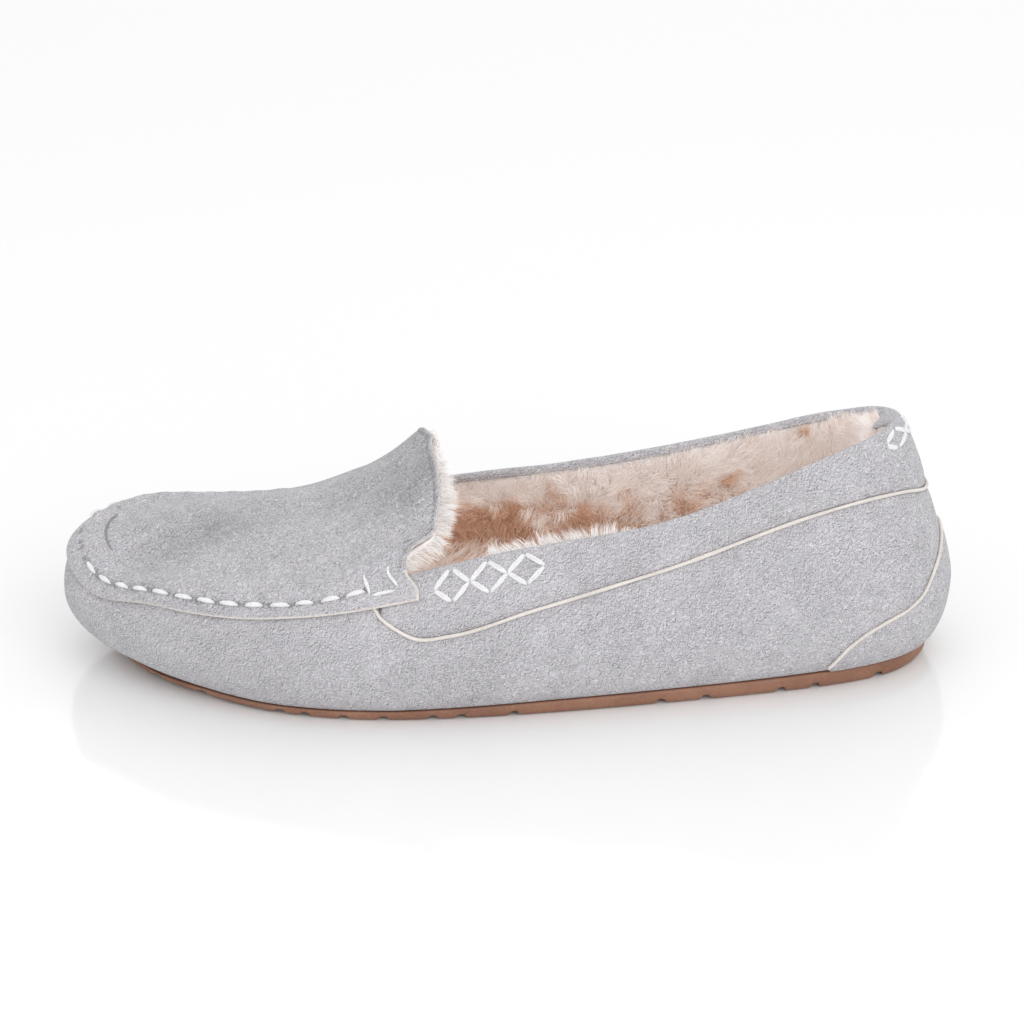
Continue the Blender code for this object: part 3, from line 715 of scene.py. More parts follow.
def make_side_wall():
    shares = np.arange(640) / 640
    folded = fold_share(shares)
    high = np.where(folded < COLLAR_END + 0.0008, collar_line(shares) - seam_clearance(shares),
                    below_ridge(shares, WALL_DROP))
    fixed = np.concatenate([[-1.0, -0.6, -0.3, -0.12, -0.04], np.linspace(0, WALL_SPLIT, 40)])
    part = np.concatenate([np.linspace(0, 0.93, 14)[1:], [0.965, 0.985, 0.994, 1.0]])
    levels = np.concatenate([np.repeat(fixed[None], len(shares), 0),
                             WALL_SPLIT + (high - WALL_SPLIT)[:, None] * part], 1)
    skin = Skin(shares, levels, upper_point(shares[:, None], levels), closed=True)
    far = from_edges(skin.points, "high")
    piped = (folded < COLLAR_END)[:, None]
    lift = handled(skin.points) * smooth(-0.05, 0.25, levels) - rolled(far, EDGE)
    made = shell("side_wall_suede", skin.raised(lift - np.where(piped, seam_dip(far), 0)),
                 skin.raised(rolled(far, EDGE) - SUEDE),
                 grid_quads(len(shares), levels.shape[1], closed=True), SUEDE_PAINT)
    stand_for(made, "suede", "side_wall")


def spine_end(points):
    """Each point's distance to the toe end of the crown's middle line."""
    return length(points - points[len(points) // 2, -1])


def calm_spine_end(points):
    """Lay the points round the end of the middle line on one plane, so that they don't crease."""
    near = spine_end(points)
    ring = points[(near > 5.0) & (near < 11.0)]
    tilt = np.linalg.lstsq(np.column_stack([ring[:, :2], np.ones(len(ring))]), ring[:, 2], rcond=None)[0]
    plane = points[..., :2] @ tilt[:2] + tilt[2]
    points[..., 2] += (plane - points[..., 2]) * smooth(8.0, 3.0, near)


def plug_points(shares, levels):
    share = np.broadcast_to(shares[:, None], levels.shape)
    side = upper_point(plug_way(share, levels), np.minimum(levels, 2.0))
    return np.where((levels > 2)[..., None], cap_point(share, levels - 2), side)


def plug_skin():
    """The plug's face, and the column of its grid that lies on the ridge."""
    shares = np.linspace(EAR, 1 - EAR, 420)
    edge = below_ridge(shares, height_along(OVERLAP_DROP, fold_share(shares)))
    low = np.concatenate([[0.0, 0.02, 0.06, 0.11], np.linspace(0.18, 1.0, 14)])
    across = np.concatenate([np.linspace(0.01, 0.2, 18)[1:], np.linspace(0.2, 1.0, 34)[1:]])
    levels = np.concatenate([edge[:, None] + (2 - edge)[:, None] * low,
                             np.repeat(2 + across[None], len(shares), 0)], 1)
    points = plug_points(shares, levels)
    calm_spine_end(points)
    fold = slice(len(low) - 8, len(low) + 12)
    for _ in range(10):  # round the fold over the ridge
        near = points[:, fold].copy()
        near[:, 1:-1] = 0.25 * near[:, :-2] + 0.5 * near[:, 1:-1] + 0.25 * near[:, 2:]
        points[:, fold] = near
    skin = Skin(shares, levels, points, past=points[::-1, -2])
    near = spine_end(points)
    level = unit(np.mean(skin.normals[(near > 4.0) & (near < 9.0)], 0))
    flat = smooth(7.0, 3.0, near)[..., None]
    skin.normals = unit(skin.normals * (1 - flat) + level * flat)
    return skin, len(low) - 1


def place_stitches():
    """Where each moccasin stitch starts and ends, as shares."""
    shares = np.linspace(SEAM_FROM, 1 - SEAM_FROM, 1600)
    way = travelled(upper_point(shares, seam_line(shares)))
    count = int(round(way[-1] / SEAM_PITCH))
    rng = np.random.default_rng(21)
    middles = (np.arange(count) + 0.5) * way[-1] / count + rng.uniform(-STITCH_STRAY, STITCH_STRAY, count)
    halves = STITCH_LENGTH / 2 + rng.uniform(-STITCH_STRAY, STITCH_STRAY, count)
    return np.interp(middles - halves, way, shares), np.interp(middles + halves, way, shares)


def make_plug(starts, ends):
    plug, ridge_column = plug_skin()
    shares, levels = plug.shares, plug.levels
    rim = from_edges(plug.points, "low", "first", "last")
    throat = from_edges(plug.points, "first", "last")
    face = plug.raised(PLUG_OUT)
    hole_shares, crest_shares = np.concatenate([starts, ends]), (starts + ends) / 2
    holes = plug.laid(hole_shares, seam_line(hole_shares), PLUG_OUT)
    crests = plug.laid(crest_shares, below_ridge(crest_shares, 0.6), PLUG_OUT)
    # hem: a groove just inside the throat edge, sunk into the face and darkened below with painted shade.
    hem = bell(throat - 1.7, 0.5) * smooth(1.9, 2.1, levels)
    lift = handled(face) - 0.55 * near_points(face, holes, 1.25) + 0.22 * near_points(face, crests, 2.4)
    back = plug.raised(PLUG_BASE + rolled(rim, EDGE))
    plug.points = plug.raised(PLUG_OUT + lift - rolled(rim, EDGE) - 0.28 * hem)
    made = shell("plug_suede", plug.points, back, sewn_fan(*levels.shape), SUEDE_PAINT)

    ear = smooth(1.1, 0.3, throat) * (levels < 2)
    cut = np.maximum(smooth(0.5, 0.15, rim), ear) * np.where(levels > 2, 0.3, 1.0)
    cut = cut * (1 - 0.8 * bell(shares - 0.48, 0.045))[:, None]
    mark(made, "rim", [cut, smooth(0.9, 0.3, rim)])

    # The shade number darkens the plug: brushed-nap patches over the crown, darker towards the throat and the
    # toe, a darker patch on the toe's crown, and painted shade in the hem groove, the slit beside the ridge
    # and the stitch holes.
    along = plug_part(shares)[:, None]
    crown = smooth(0.25, 0.8, levels - 2)
    toe_dark_patch = bell(plug.points[..., 0] + 88, 15) * bell(plug.points[..., 1] + 2, 10)
    brushed = 0.5 + 0.5 * soft_noise(plug.points, 19.0, 23)
    shade = crown * brushed * (0.3 + 0.9 * smooth(0.55, 0.95, along) + 0.5 * smooth(0.45, 0.1, along))
    slit = bell(length(plug.points - plug.points[:, ridge_column][:, None]) - SLIT_AT, 0.28)
    slit_run = smooth(0.486, 0.494, shares) * smooth(0.534, 0.524, shares)
    # Painted shade in the hem groove and in the slit.
    shade = shade + 0.8 * hem + 0.7 * toe_dark_patch + 3.8 * slit * (levels > 2) * slit_run[:, None]
    # Painted shade in the stitch holes.
    shade = shade + 2.0 * near_points(face, holes, 0.75)
    mark(made, "shade", [shade, shade])
    weld(made)
    stand_for(made, "suede", "plug")
    return plug


def make_collar():
    """The band above the piping, rolled in over the top edge."""
    shares = np.linspace(-COLLAR_END, COLLAR_END, 430)
    low = collar_line(shares) + seam_clearance(shares)
    fat = ROLL + HEEL_ROLL * heel_share(shares)
    wide = fat * (1 + 0.65 * heel_share(shares))
    start = below_ridge(shares, fat)
    part = np.concatenate([[0.0, 0.01, 0.03, 0.06], np.linspace(0.1, 1.0, 26)])
    levels = low[:, None] + (start - low)[:, None] * part
    face = upper_point(shares[:, None], levels)
    out = outward(shares, start)
    up = face[:, -1] - face[:, -2]
    up = unit(up - out * np.sum(up * out, -1, keepdims=True))
    turn = np.linspace(0, ROLL_TURN, 17)[1:]
    roll = (face[:, -1][:, None] + fat[:, None, None] * np.sin(turn)[:, None] * up[:, None]
            - wide[:, None, None] * (1 - np.cos(turn))[:, None] * out[:, None])
    down = math.cos(ROLL_TURN) * up - math.sin(ROLL_TURN) * out
    tail = roll[:, -1][:, None] + down[:, None] * np.array([0.2, 0.45, 0.7, 0.95])[:, None]
    over = start[:, None] + (2 - start[:, None]) * np.sin(np.minimum(turn, math.pi / 2))
    over = over + 0.5 * np.maximum(turn - math.pi / 2, 0)
    levels = np.concatenate([levels, over, over[:, -1:] + np.array([0.1, 0.2, 0.3, 0.4])], 1)
    skin = Skin(shares, levels, np.concatenate([face, roll, tail], 1))
    far = from_edges(skin.points, "low")
    edge = rolled(np.minimum(far, from_edges(skin.points, "first", "last")), EDGE)
    climb = np.clip(far / far[:, len(part) - 1][:, None], 0, 1)
    show = (1 - smooth(0.288, 0.302, fold_share(shares)))[:, None]
    puff = COLLAR_PUFF * np.sin(math.pi * climb) ** 0.8 * show
    back = skin.raised(edge - SUEDE)
    skin.points = skin.raised(puff + handled(skin.points) * (0.35 + 0.65 * show) - edge - seam_dip(far))
    made = shell("collar_suede", skin.points, back, grid_quads(*levels.shape), SUEDE_PAINT)
    stand_for(made, "suede", "collar_band")
    return skin


def make_heel_patch():
    shares = np.linspace(-PATCH_END, PATCH_END, 170)
    high = patch_line(shares)
    low = np.minimum(0.05, high - 0.02)
    part = np.concatenate([np.linspace(0, 0.95, 44), [0.965, 0.98, 0.99, 0.996, 1.0]])
    levels = low[:, None] + (high - low)[:, None] * part
    skin = Skin(shares, levels, upper_point(shares[:, None], levels))
    rim = from_edges(skin.points, "high", "first", "last")
    face = skin.raised(handled(skin.points) + PATCH_OUT - rolled(rim, EDGE) - 0.5 * seam_dip(rim))
    made = shell("heel_patch_suede", face, skin.raised(np.full(levels.shape, PATCH_BASE)),
                 grid_quads(*levels.shape), SUEDE_PAINT)
    stand_for(made, "suede", "heel_patch")


make_side_wall()
STITCH_STARTS, STITCH_ENDS = place_stitches()
PLUG = make_plug(STITCH_STARTS, STITCH_ENDS)
COLLAR = make_collar()
make_heel_patch()


# ---------------- pipings and threads
PIPING = 0.52
YARN = 0.70  # half thickness of the moccasin yarn
TACK = 0.50  # half thickness of the diamond yarn
TACK_SPREAD = 0.29  # half the distance between its two passes
TOE_TIP = (0.483, 0.516)  # the stitches here are hidden in the toe's gathers
DIAMOND_ROWS = (  # name, middle share, drop below the ridge, half width, half height
    ("outer", DIAMOND_PLACE, 5.3, 5.35, 3.5),
    ("inner", -DIAMOND_PLACE, 5.3, 5.35, 3.5),
    ("heel", 0.0125, 3.8, 6.2, 2.5),
)
CORNER_TACKS = (  # the outer ear's staple, from one (share, level) to the next
    ((0.3264, 2.06), (0.3226, 1.755)),
    ((0.3222, 1.745), (0.3108, 1.768)),
    ((0.3084, 1.80), (0.3108, 2.09)),
)


def uneven(count, seed, amount):
    """A gently varying factor near 1."""
    rng = np.random.default_rng(seed)
    return 1 + amount * 3 * np.convolve(rng.uniform(-1, 1, count + 8), np.ones(9) / 9, "valid")


def make_piping(name, node, line, seed):
    cords = Cords()
    cords.add(line, PIPING * uneven(len(line), seed, 0.10))
    cords.make(name, PIPING_PAINT, "piping", node)


def make_pipings():
    shares = np.linspace(-COLLAR_END - 0.004, COLLAR_END + 0.004, 620)
    folded = fold_share(shares)
    drop = open_spline(COLLAR_DROP, folded) - np.maximum(folded - COLLAR_END, 0) * 900
    levels = below_ridge(shares, drop)
    normal = outward(shares, levels)
    line = upper_point(shares, levels) + normal * 0.05
    line = line + normal * handled(line)[:, None]
    make_piping("collar_piping_cord", "collar_piping", line, 31)

    shares = np.linspace(-PATCH_END, PATCH_END, 320)
    levels = patch_line(shares)
    base = upper_point(shares, levels)
    normal = outward(shares, levels)
    side = np.cross(normal, np.gradient(base, axis=0))
    side = unit(side * np.sign(side[len(side) // 2, 2]))
    line = base + side * PIPING * 0.75 + normal * (0.5 + handled(base))[:, None]
    make_piping("heel_patch_piping_cord", "heel_patch_piping", line, 32)


def stitch_line(start, end, rise, sink, rows=17):
    """A stitch between two (share, level) places: it comes out of one hole and dives into the other."""
    part = np.linspace(0, 1, rows)
    share = start[0] + (end[0] - start[0]) * part
    level = start[1] + (end[1] - start[1]) * part
    return PLUG.laid(share, level, rise - (rise + sink) * np.abs(2 * part - 1) ** 6)


def lens(thick, tip=0.35, rows=17):
    """Radii along a stitch, thinner at its tips."""
    part = np.abs(2 * np.linspace(0, 1, rows) - 1)
    return thick * (tip + (1 - tip) * (1 - part ** 2.2))


def make_moccasin_stitches(rng):
    cords = Cords()
    for start, end in zip(STITCH_STARTS, STITCH_ENDS):
        level = [float(seam_line(np.array(share), rng.uniform(-0.12, 0.12))) for share in (start, end)]
        if not TOE_TIP[0] < start < TOE_TIP[1]:
            line = stitch_line((start, level[0]), (end, level[1]), 0.42, 1.1)
            cords.add(line, lens(YARN * rng.uniform(0.93, 1.07)), sides=12, twist=1.3, ply=0.10)
    cords.make("moccasin_stitches", THREAD_PAINT, "thread", "moccasin_thread")


def make_corner_stitches(side, node):
    cords = Cords()
    for ends in CORNER_TACKS:
        if side < 0:
            ends = [(1 - share, level) for share, level in ends]
        cords.add(stitch_line(*ends, 0.3, 0.9), lens(1.12 * TACK), twist=1.5, ply=0.10)
    cords.make(node + "_stitches", THREAD_PAINT, "thread", node)


def make_diamonds(name, centre, drop, half, tall, rng):
    """Three diamonds in a row, each side two passes of yarn."""
    cords = Cords()
    places = centre + np.linspace(-0.06, 0.06, 241)
    way = travelled(upper_point(places, below_ridge(places, drop)))
    way -= way[120]
    part = np.linspace(0, 1, 17)[:, None]
    for cell in (-2, 0, 2):
        for left, up in itertools.product((-1, 1), (-1, 1)):
            tips = np.array([[cell + left * 0.99, up * 0.01], [cell + left * 0.01, up * 0.99]])
            tips += rng.uniform(-0.03, 0.03, (2, 2))
            if cell == 2:  # the last diamond is drawn rounder
                tips[:, 0] -= left * 0.04
                tips[1, 0] += left * 0.10
            tips = tips * (half, tall)
            aside = np.array([tips[0, 1] - tips[1, 1], tips[1, 0] - tips[0, 0]])
            aside *= TACK_SPREAD / length(aside)
            for strand in (-1, 1):
                spots = tips[0] + (tips[1] - tips[0]) * part
                spots = spots + strand * aside * (1 - 0.7 * (2 * part - 1) ** 2)
                share = np.interp(spots[:, 0], way, places)
                level = below_ridge(share, drop - spots[:, 1])
                line = COLLAR.laid(share, level, 0.16 - 0.86 * np.abs(2 * part[:, 0] - 1) ** 8)
                thick = lens(0.90 * TACK * rng.uniform(0.93, 1.05), tip=0.55)
                cords.add(line, thick, twist=1.6, ply=0.12)
    cords.make("diamond_stitches_" + name, THREAD_PAINT, "thread", "diamond_thread_" + name)


def make_threads():
    rng = np.random.default_rng(5)
    make_moccasin_stitches(rng)
    make_corner_stitches(1, "corner_thread_outer")
    make_corner_stitches(-1, "corner_thread_inner")
    for row in DIAMOND_ROWS:
        make_diamonds(*row, rng)


make_pipings()
make_threads()


# ---------------- outsole and the layers under the foot
GROOVE_HALF, GROOVE_DEPTH = 1.25, 1.4
RIB_PITCH, RIB_DEPTH = 4.2, 0.45
GUTTER_AT, GUTTER_DEPTH = 4.0, 0.5
TOE_MARGIN = 1.8  # how much further the sole shows at the toe
SOLE_PROFILE = ((0.5, 0.0), (0.56, 0.25), (0.48, 0.52), (0.2, 0.74), (-0.35, 0.89), (-1.0, 0.97), (-1.7, 1.0))
MIDLINE = (0.86, 1.5)  # the fan's middle: this part of the edge's x, and this y


def middle_of(edge):
    """The points of the sole's middle line that a fan from the edge runs to."""
    return np.stack([edge[:, 0] * MIDLINE[0], np.full(len(edge), MIDLINE[1])], -1)


def tread_relief(x, y, inside):
    """How deep the tread is cut at a place; inside is the distance from its edge."""
    nearest = np.min(np.abs(x[..., None] - np.array(GROOVES)), -1)
    groove = GROOVE_DEPTH * (1 - smooth(GROOVE_HALF - 0.35, GROOVE_HALF + 0.35, nearest))
    between = smooth(1.8, 2.6, nearest)
    wave = np.cos(2 * math.pi * (x + 2.2 * np.cos(y / 3.1)) / RIB_PITCH)
    rib = RIB_DEPTH * smooth(-0.2, 0.5, wave) * smooth(4.5, 6.0, inside) * between
    gutter = GUTTER_DEPTH * bell(inside - GUTTER_AT, 0.55) * between
    return np.maximum(np.maximum(groove, rib), gutter)


def make_outsole():
    shares = np.arange(900) / 900
    edge, out = feather(shares), sideways(shares)
    edge = edge + out * (TOE_MARGIN * smooth(-84.0, -104.0, edge[:, 0]))[:, None]
    offsets, drops = np.array(SOLE_PROFILE).T
    side = edge[:, None] + out[:, None] * offsets[:, None]
    part = np.linspace(0, 1, 42)[1:, None]
    plan = np.concatenate([side, side[:, -1:] * (1 - part) + middle_of(side[:, -1])[:, None] * part], 1)
    inside = from_edges(np.concatenate([plan, 0 * plan[..., :1]], -1), "low")
    low, high = height_along(SOLE_BOTTOM, plan[..., 0]), height_along(SOLE_TOP, plan[..., 0])
    drop = np.concatenate([drops, np.ones(41)])
    cut = np.minimum(tread_relief(plan[..., 0], plan[..., 1], inside) * drop ** 2, 0.6 * (high - low))
    bottom = np.concatenate([plan, (high + (low - high) * drop + cut)[..., None]], -1)
    flat = plan.copy()
    inset = np.linspace(0.3, offsets[-1], len(offsets))
    flat[:, :len(offsets)] = edge[:, None] + out[:, None] * inset[:, None]
    top = np.concatenate([flat, height_along(SOLE_TOP, flat[..., 0])[..., None]], -1)
    made = shell("outsole_rubber", bottom, top,
                 grid_quads(len(shares), plan.shape[1], closed=True)[:, ::-1], RUBBER_PAINT)
    stand_for(made, "outsole_rubber", "outsole")


def dress_layers():
    """The layers that stay as the CAD made them get their fibre and foam surfaces."""
    finish = {"roughness": 0.9, "sheen": 0.1, "specular": 0.15}
    board = flecked("fibre_board", (0.36, 0.28, 0.21), (0.52, 0.43, 0.33), (0.8, 3.0, 0.65, 0.6), 12.0,
                    0.6, (0.5, 0.2), **finish)
    foam = flecked("open_cell_foam", (0.70, 0.63, 0.52), (0.86, 0.81, 0.70), (0.5, 3.0, 0.65, 0.6), 12.0,
                   0.6, (0.5, 0.2), **finish)
    for node, material in (("bottom_filler", board), ("insole_board", board), ("heel_counter", board),
                           ("insole_foam", foam)):
        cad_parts[node].material_slots[0].material = material


make_outsole()
dress_layers()


# ---------------- fur
STRAND_ROWS = np.array([0.0, 0.38, 0.72, 1.0])
STRAND_TAPER = np.array([1.0, 0.9, 0.62])
QUARTER_DENSITY, SOCK_DENSITY, TOE_DENSITY, FRINGE_DENSITY = 7.0, 3.2, 3.0, 20.0  # strands to a mm2
QUARTER_LENGTH, SOCK_LENGTH, VAMP_LENGTH, PLUG_LENGTH, FRINGE_LENGTH = 8.5, 6.2, 6.5, 6.0, 7.2
PILE_FLOOR = 8.0  # the sock's pile stands this far over the sole
SOCK_INSET = 1.2
VAMP_PILE = 5.5  # depth of the vamp lining's face behind the upper's


def scatter(points, normals, density, rng, weight=None):
    """Roots spread over a grid: their places, normals and place in the grid (0..1, 0..1)."""
    rows, columns = points.shape[:2]
    corner = points[:-1, :-1]
    area = length(np.cross(points[1:, :-1] - corner, points[:-1, 1:] - corner))
    chance = area if weight is None else area * weight[:-1, :-1]
    count = int(density * chance.sum())
    pick = rng.choice(area.size, count, p=(chance / chance.sum()).ravel())
    row, column = np.divmod(pick, columns - 1)
    down, over = rng.uniform(0, 1, (2, count, 1))

    def blend(grid):
        return ((grid[row, column] * (1 - over) + grid[row, column + 1] * over) * (1 - down)
                + (grid[row + 1, column] * (1 - over) + grid[row + 1, column + 1] * over) * down)

    return (blend(points), unit(blend(normals)), (row + down[:, 0]) / (rows - 1),
            (column + over[:, 0]) / (columns - 1))


def locks_of(roots, spacing, rng):
    """Which lock each strand belongs to; a lock is named by one of its strands."""
    cells = {}
    lead = np.zeros(len(roots), np.int64)
    order = rng.permutation(len(roots))
    jitter = rng.uniform(-0.5, 0.5, roots.shape) * spacing * 0.9
    keys = np.floor((roots + jitter * 0.35) / spacing).astype(np.int64)
    for index in order:
        lead[index] = cells.setdefault(tuple(keys[index]), index)
    return lead


def grow(name, roots, normals, lay, lengths, tones, seed, spacing=3.2, width=0.19, upright=0.8,
         gather=0.55, curl=0.5, start=0.0, parts=1, painted_lit=False, wild=1.0):
    """Tapered strands in locks: each leaves its root between the normal and the lay direction."""
    rng = np.random.default_rng(seed)
    count = len(roots)
    lead = locks_of(roots, spacing, rng)
    shy = rng.normal(0, 1, (count, 3))
    own = unit(normals * upright + lay + 0.24 * wild * shy)
    tilt = rng.normal(0, 1, (count, 3))[lead]
    shared = unit(normals[lead] * upright + lay[lead] + 0.36 * wild * tilt)
    lengths = lengths * rng.uniform(0.8, 1.15, count)
    lock_tip = roots[lead] + shared * lengths[lead][:, None] + (roots - roots[lead]) * 0.45
    part = STRAND_ROWS[:, None]
    free = roots[:, None] + own[:, None] * lengths[:, None, None] * part
    drawn = roots[:, None] + (lock_tip - roots)[:, None] * part
    draw = gather * part ** 0.8
    line = free * (1 - draw) + drawn * draw
    side = unit(np.cross(own, rng.normal(0, 1, (count, 3))))
    phase = rng.uniform(0, 2 * math.pi, count)[lead] + rng.normal(0, 0.4, count)
    swing = unit(np.cross(shared, rng.normal(0, 1, (count, 3))[lead]))
    bend = np.sin(phase[:, None] + 4.2 * STRAND_ROWS) - np.sin(phase)[:, None]
    line = line + swing[:, None] * (curl * bend * STRAND_ROWS)[..., None]
    half = 0.5 * width * rng.uniform(0.75, 1.25, count)
    aside = side[:, None] * (half[:, None] * STRAND_TAPER)[..., None]
    pairs = np.stack([line[:, :3] - aside, line[:, :3] + aside], 2).reshape(count, 6, 3)
    corners = np.concatenate([pairs, line[:, 3:]], 1)
    along = start + (1 - start) * np.append(np.repeat(STRAND_ROWS[:3], 2), 1.0)
    tones = np.clip(tones + rng.normal(0, 0.08, count) + 0.16 * rng.normal(0, 1, count)[lead], 0, 1)
    # Material 0 is the fur, 1 the browner fur for high tone, 2 the paler copy for painted_lit strands.
    kinds = np.where(painted_lit, 2, tones > 0.5)
    for piece, chosen in enumerate(np.array_split(np.arange(count), parts)):
        first = 7 * np.arange(len(chosen))[:, None]
        quads = np.concatenate([first + [0, 1, 3, 2], first + [2, 3, 5, 4]])
        made = new_mesh(name if parts == 1 else f"{name}_{piece + 1}", corners[chosen].reshape(-1, 3), quads,
                        first + [4, 5, 6], [FUR_PAINT, BROWN_AND_SHADED_FUR_PAINT, LIT_FUR_PAINT], np.tile(kinds[chosen], 3))
        mark(made, "along", np.tile(along, len(chosen)))
        mark(made, "tone", np.repeat(tones[chosen], 7))


def make_pile(name, outer, inner, quads, nodes, tone=None):
    """The solid backing of a lining; tone runs from pale (0) to brown (1)."""
    made = shell(name, outer, inner, quads, PILE_PAINT)
    if tone is not None:
        tone = np.broadcast_to(tone, outer.shape[:2])
        mark(made, "tone", [tone, tone])
    stand_for(made, "fur", *nodes)
    return made


def make_quarter_fur():
    """The lining behind the collar and down the sides of the foot."""
    shares = np.linspace(-0.306, 0.306, 330)
    drop = np.concatenate([[1.8, 2.3, 2.9, 3.7], np.linspace(5.0, 40.0, 26)])
    levels = below_ridge(shares[:, None], drop)
    outer = upper_point(shares[:, None], levels)
    out = outward(shares[:, None], levels)
    heel = heel_share(shares)[:, None]
    depth = 2.4 + 3.4 * HEEL_ROLL * heel + 2.4 * smooth(1.0, 9.0, drop)
    depth = depth + 0.35 * soft_noise(outer, 7.0, 8)
    face = outer - out * depth[..., None]
    lowest = floor_of_upper(face[..., 0]) + PILE_FLOOR
    keep = face[..., 2] > lowest
    face[..., 2] = np.where(keep, face[..., 2], lowest)
    back = outer - out * 1.9
    back[..., 2] = np.minimum(back[..., 2], face[..., 2] + 0.5)
    # The backing is browner further down the lining: painted shade.
    make_pile("quarter_lining_pile", back, face, grid_quads(*levels.shape), ("quarter_lining", "collar_foam"),
              0.8 * smooth(7.0, 20.0, drop))

    rng = np.random.default_rng(41)
    inner = normals_of(face)
    outer_side = ((shares > 0) & (shares < 0.29))[:, None]
    tucked = smooth(30.0, 42.0, face[..., 0]) * outer_side * (drop < 3.2)
    far_rim = np.maximum(0.7 * (shares < 0)[:, None] * (drop < 2.6), heel * (drop < 4.6))
    weight = keep * np.where(drop < 22, 1.0, 0.35) * (1 - tucked) * (1 - far_rim)
    roots, normals, row, column = scatter(face, inner, QUARTER_DENSITY, rng, weight)
    share = np.interp(row, [0, 1], [shares[0], shares[-1]])
    below = np.interp(column, np.linspace(0, 1, len(drop)), drop)
    round_way = unit(np.gradient(face[:, 2], axis=0))
    ahead = np.stack([np.interp(share, shares, round_way[:, axis]) for axis in range(3)], -1)
    swirl = soft_noise(roots, 16.0, 12)[:, None]
    lay = UP * (0.85 - 0.25 * smooth(6, 20, below)[:, None]) + ahead * 0.75 * swirl
    rim = 1 - smooth(3.0, 6.5, below)
    normals = unit(normals * (1 - 0.35 * rim[:, None]))

    # Along the near rim the fur is short beside the throat, then stands up in white tufts, and
    # further back it is laid down out of sight.
    x = roots[:, 0]
    near = (share > 0) & (x < 110)
    past_throat = smooth(-9.0, -2.0, x)
    tuft = near * past_throat * (1 - 0.9 * smooth(0.0, 40.0, x)) * rim
    bare = near * (1 - past_throat) * rim
    hidden = near * smooth(26.0, 42.0, x) * (1 - smooth(9.0, 14.0, below))
    lay = lay * (1 - hidden[:, None]) - 1.1 * UP * hidden[:, None]
    lay = lay + (0.35 * UP + 0.55 * ahead) * tuft[:, None]
    lengths = QUARTER_LENGTH - 3.2 * rim + 2.6 * tuft - 1.2 * hidden - 2.4 * bare
    lengths = lengths - 2.8 * (share < 0) * (1 - smooth(2.0, 8.0, below)) + 1.4 * soft_noise(roots, 9.0, 14)
    # Painted shade: the fur is browner deep down the lining and towards the front under the plug, and paler
    # at the tufts as painted light; the noise terms are the fur's own random tone.
    deep = smooth(9.0, 22.0, below) * (1 - 0.5 * smooth(10.0, 60.0, x))
    front = (1 - smooth(-12.0, 30.0, x)) * smooth(5.0, 13.0, below)
    tones = (0.46 * deep + 0.56 * front * (1 - rim) + 0.20 * soft_noise(roots, 11.0, 15)
             + 0.26 * soft_noise(roots * (1.0, 1.0, 0.5), 4.5, 16) - 0.5 * tuft)
    # The strands along the near rim, where the light falls, take the paler copy of the fur: painted light.
    painted_lit = (share > 0) & (rng.uniform(0, 1, len(roots)) < 1 - smooth(2.0, 7.0, below))
    grow("quarter_fur", roots, normals, lay, lengths, tones, 42, upright=0.62, parts=3, painted_lit=painted_lit)


def make_insole_fur():
    """The pile under the foot."""
    share = np.linspace(0, 1, 360, endpoint=False)
    plan = feather(share) - sideways(share) * SOCK_INSET
    part = np.linspace(0, 1, 26)[:, None]
    flat = plan[:, None] * (1 - part) + middle_of(plan)[:, None] * part
    base = floor_of_upper(flat[..., 0])
    cup = 4.5 * (1 - part[..., 0]) ** 5
    top = np.concatenate([flat, (base + PILE_FLOOR + 0.2 + cup)[..., None]], -1)
    top[..., 2] += 0.4 * soft_noise(top, 8.0, 51)
    bottom = top.copy()
    bottom[..., 2] = base + PILE_FLOOR - 0.8
    make_pile("insole_pile", top, bottom, grid_quads(len(share), 26, closed=True), ["insole_fur"], 0.5)
    weight = np.where(top[..., 0] > -45.0, 1.0, 0.4)
    normal = np.broadcast_to(UP, top.shape)
    roots, normals, _, _ = scatter(top, normal, SOCK_DENSITY, np.random.default_rng(52), weight)
    turn = 3.0 * soft_noise(roots, 26.0, 53)
    lay = 0.75 * np.stack([np.cos(turn), np.sin(turn), np.zeros(len(turn))], -1)
    lengths = SOCK_LENGTH + 1.2 * soft_noise(roots, 8.0, 54)
    # Browner towards the toe, under the plug: painted shade; the noise is the fur's own random tone.
    tones = 0.30 + 0.25 * soft_noise(roots, 12.0, 55) + 0.3 * (1 - smooth(-50, 0, roots[:, 0]))
    grow("insole_strands", roots, normals, lay, lengths, tones, 56, upright=0.9, parts=2)


def make_vamp_fur():
    """The lining of the side wall round the toes."""
    shares = np.linspace(0.304, 0.696, 240)
    levels = below_ridge(shares[:, None], np.linspace(3.4, 34.0, 12))
    outer = upper_point(shares[:, None], levels)
    out = outward(shares[:, None], levels)
    inner = outer - out * VAMP_PILE
    inner[..., 2] = np.maximum(inner[..., 2], floor_of_upper(inner[..., 0]) + PILE_FLOOR)
    make_pile("vamp_lining_pile", outer - out * 2.0, inner, grid_quads(*levels.shape), ["vamp_lining"])
    weight = smooth(-75.0, -50.0, inner[..., 0])
    roots, normals, _, _ = scatter(inner, normals_of(inner), TOE_DENSITY, np.random.default_rng(66), weight)
    lay = np.tile(np.array([0.8, 0.0, 0.1]), (len(roots), 1))
    tones = 0.55 + 0.25 * soft_noise(roots, 9.0, 67)
    lengths = VAMP_LENGTH + 1.2 * soft_noise(roots, 8.0, 68)
    grow("vamp_strands", roots, normals, lay, lengths, tones, 69)


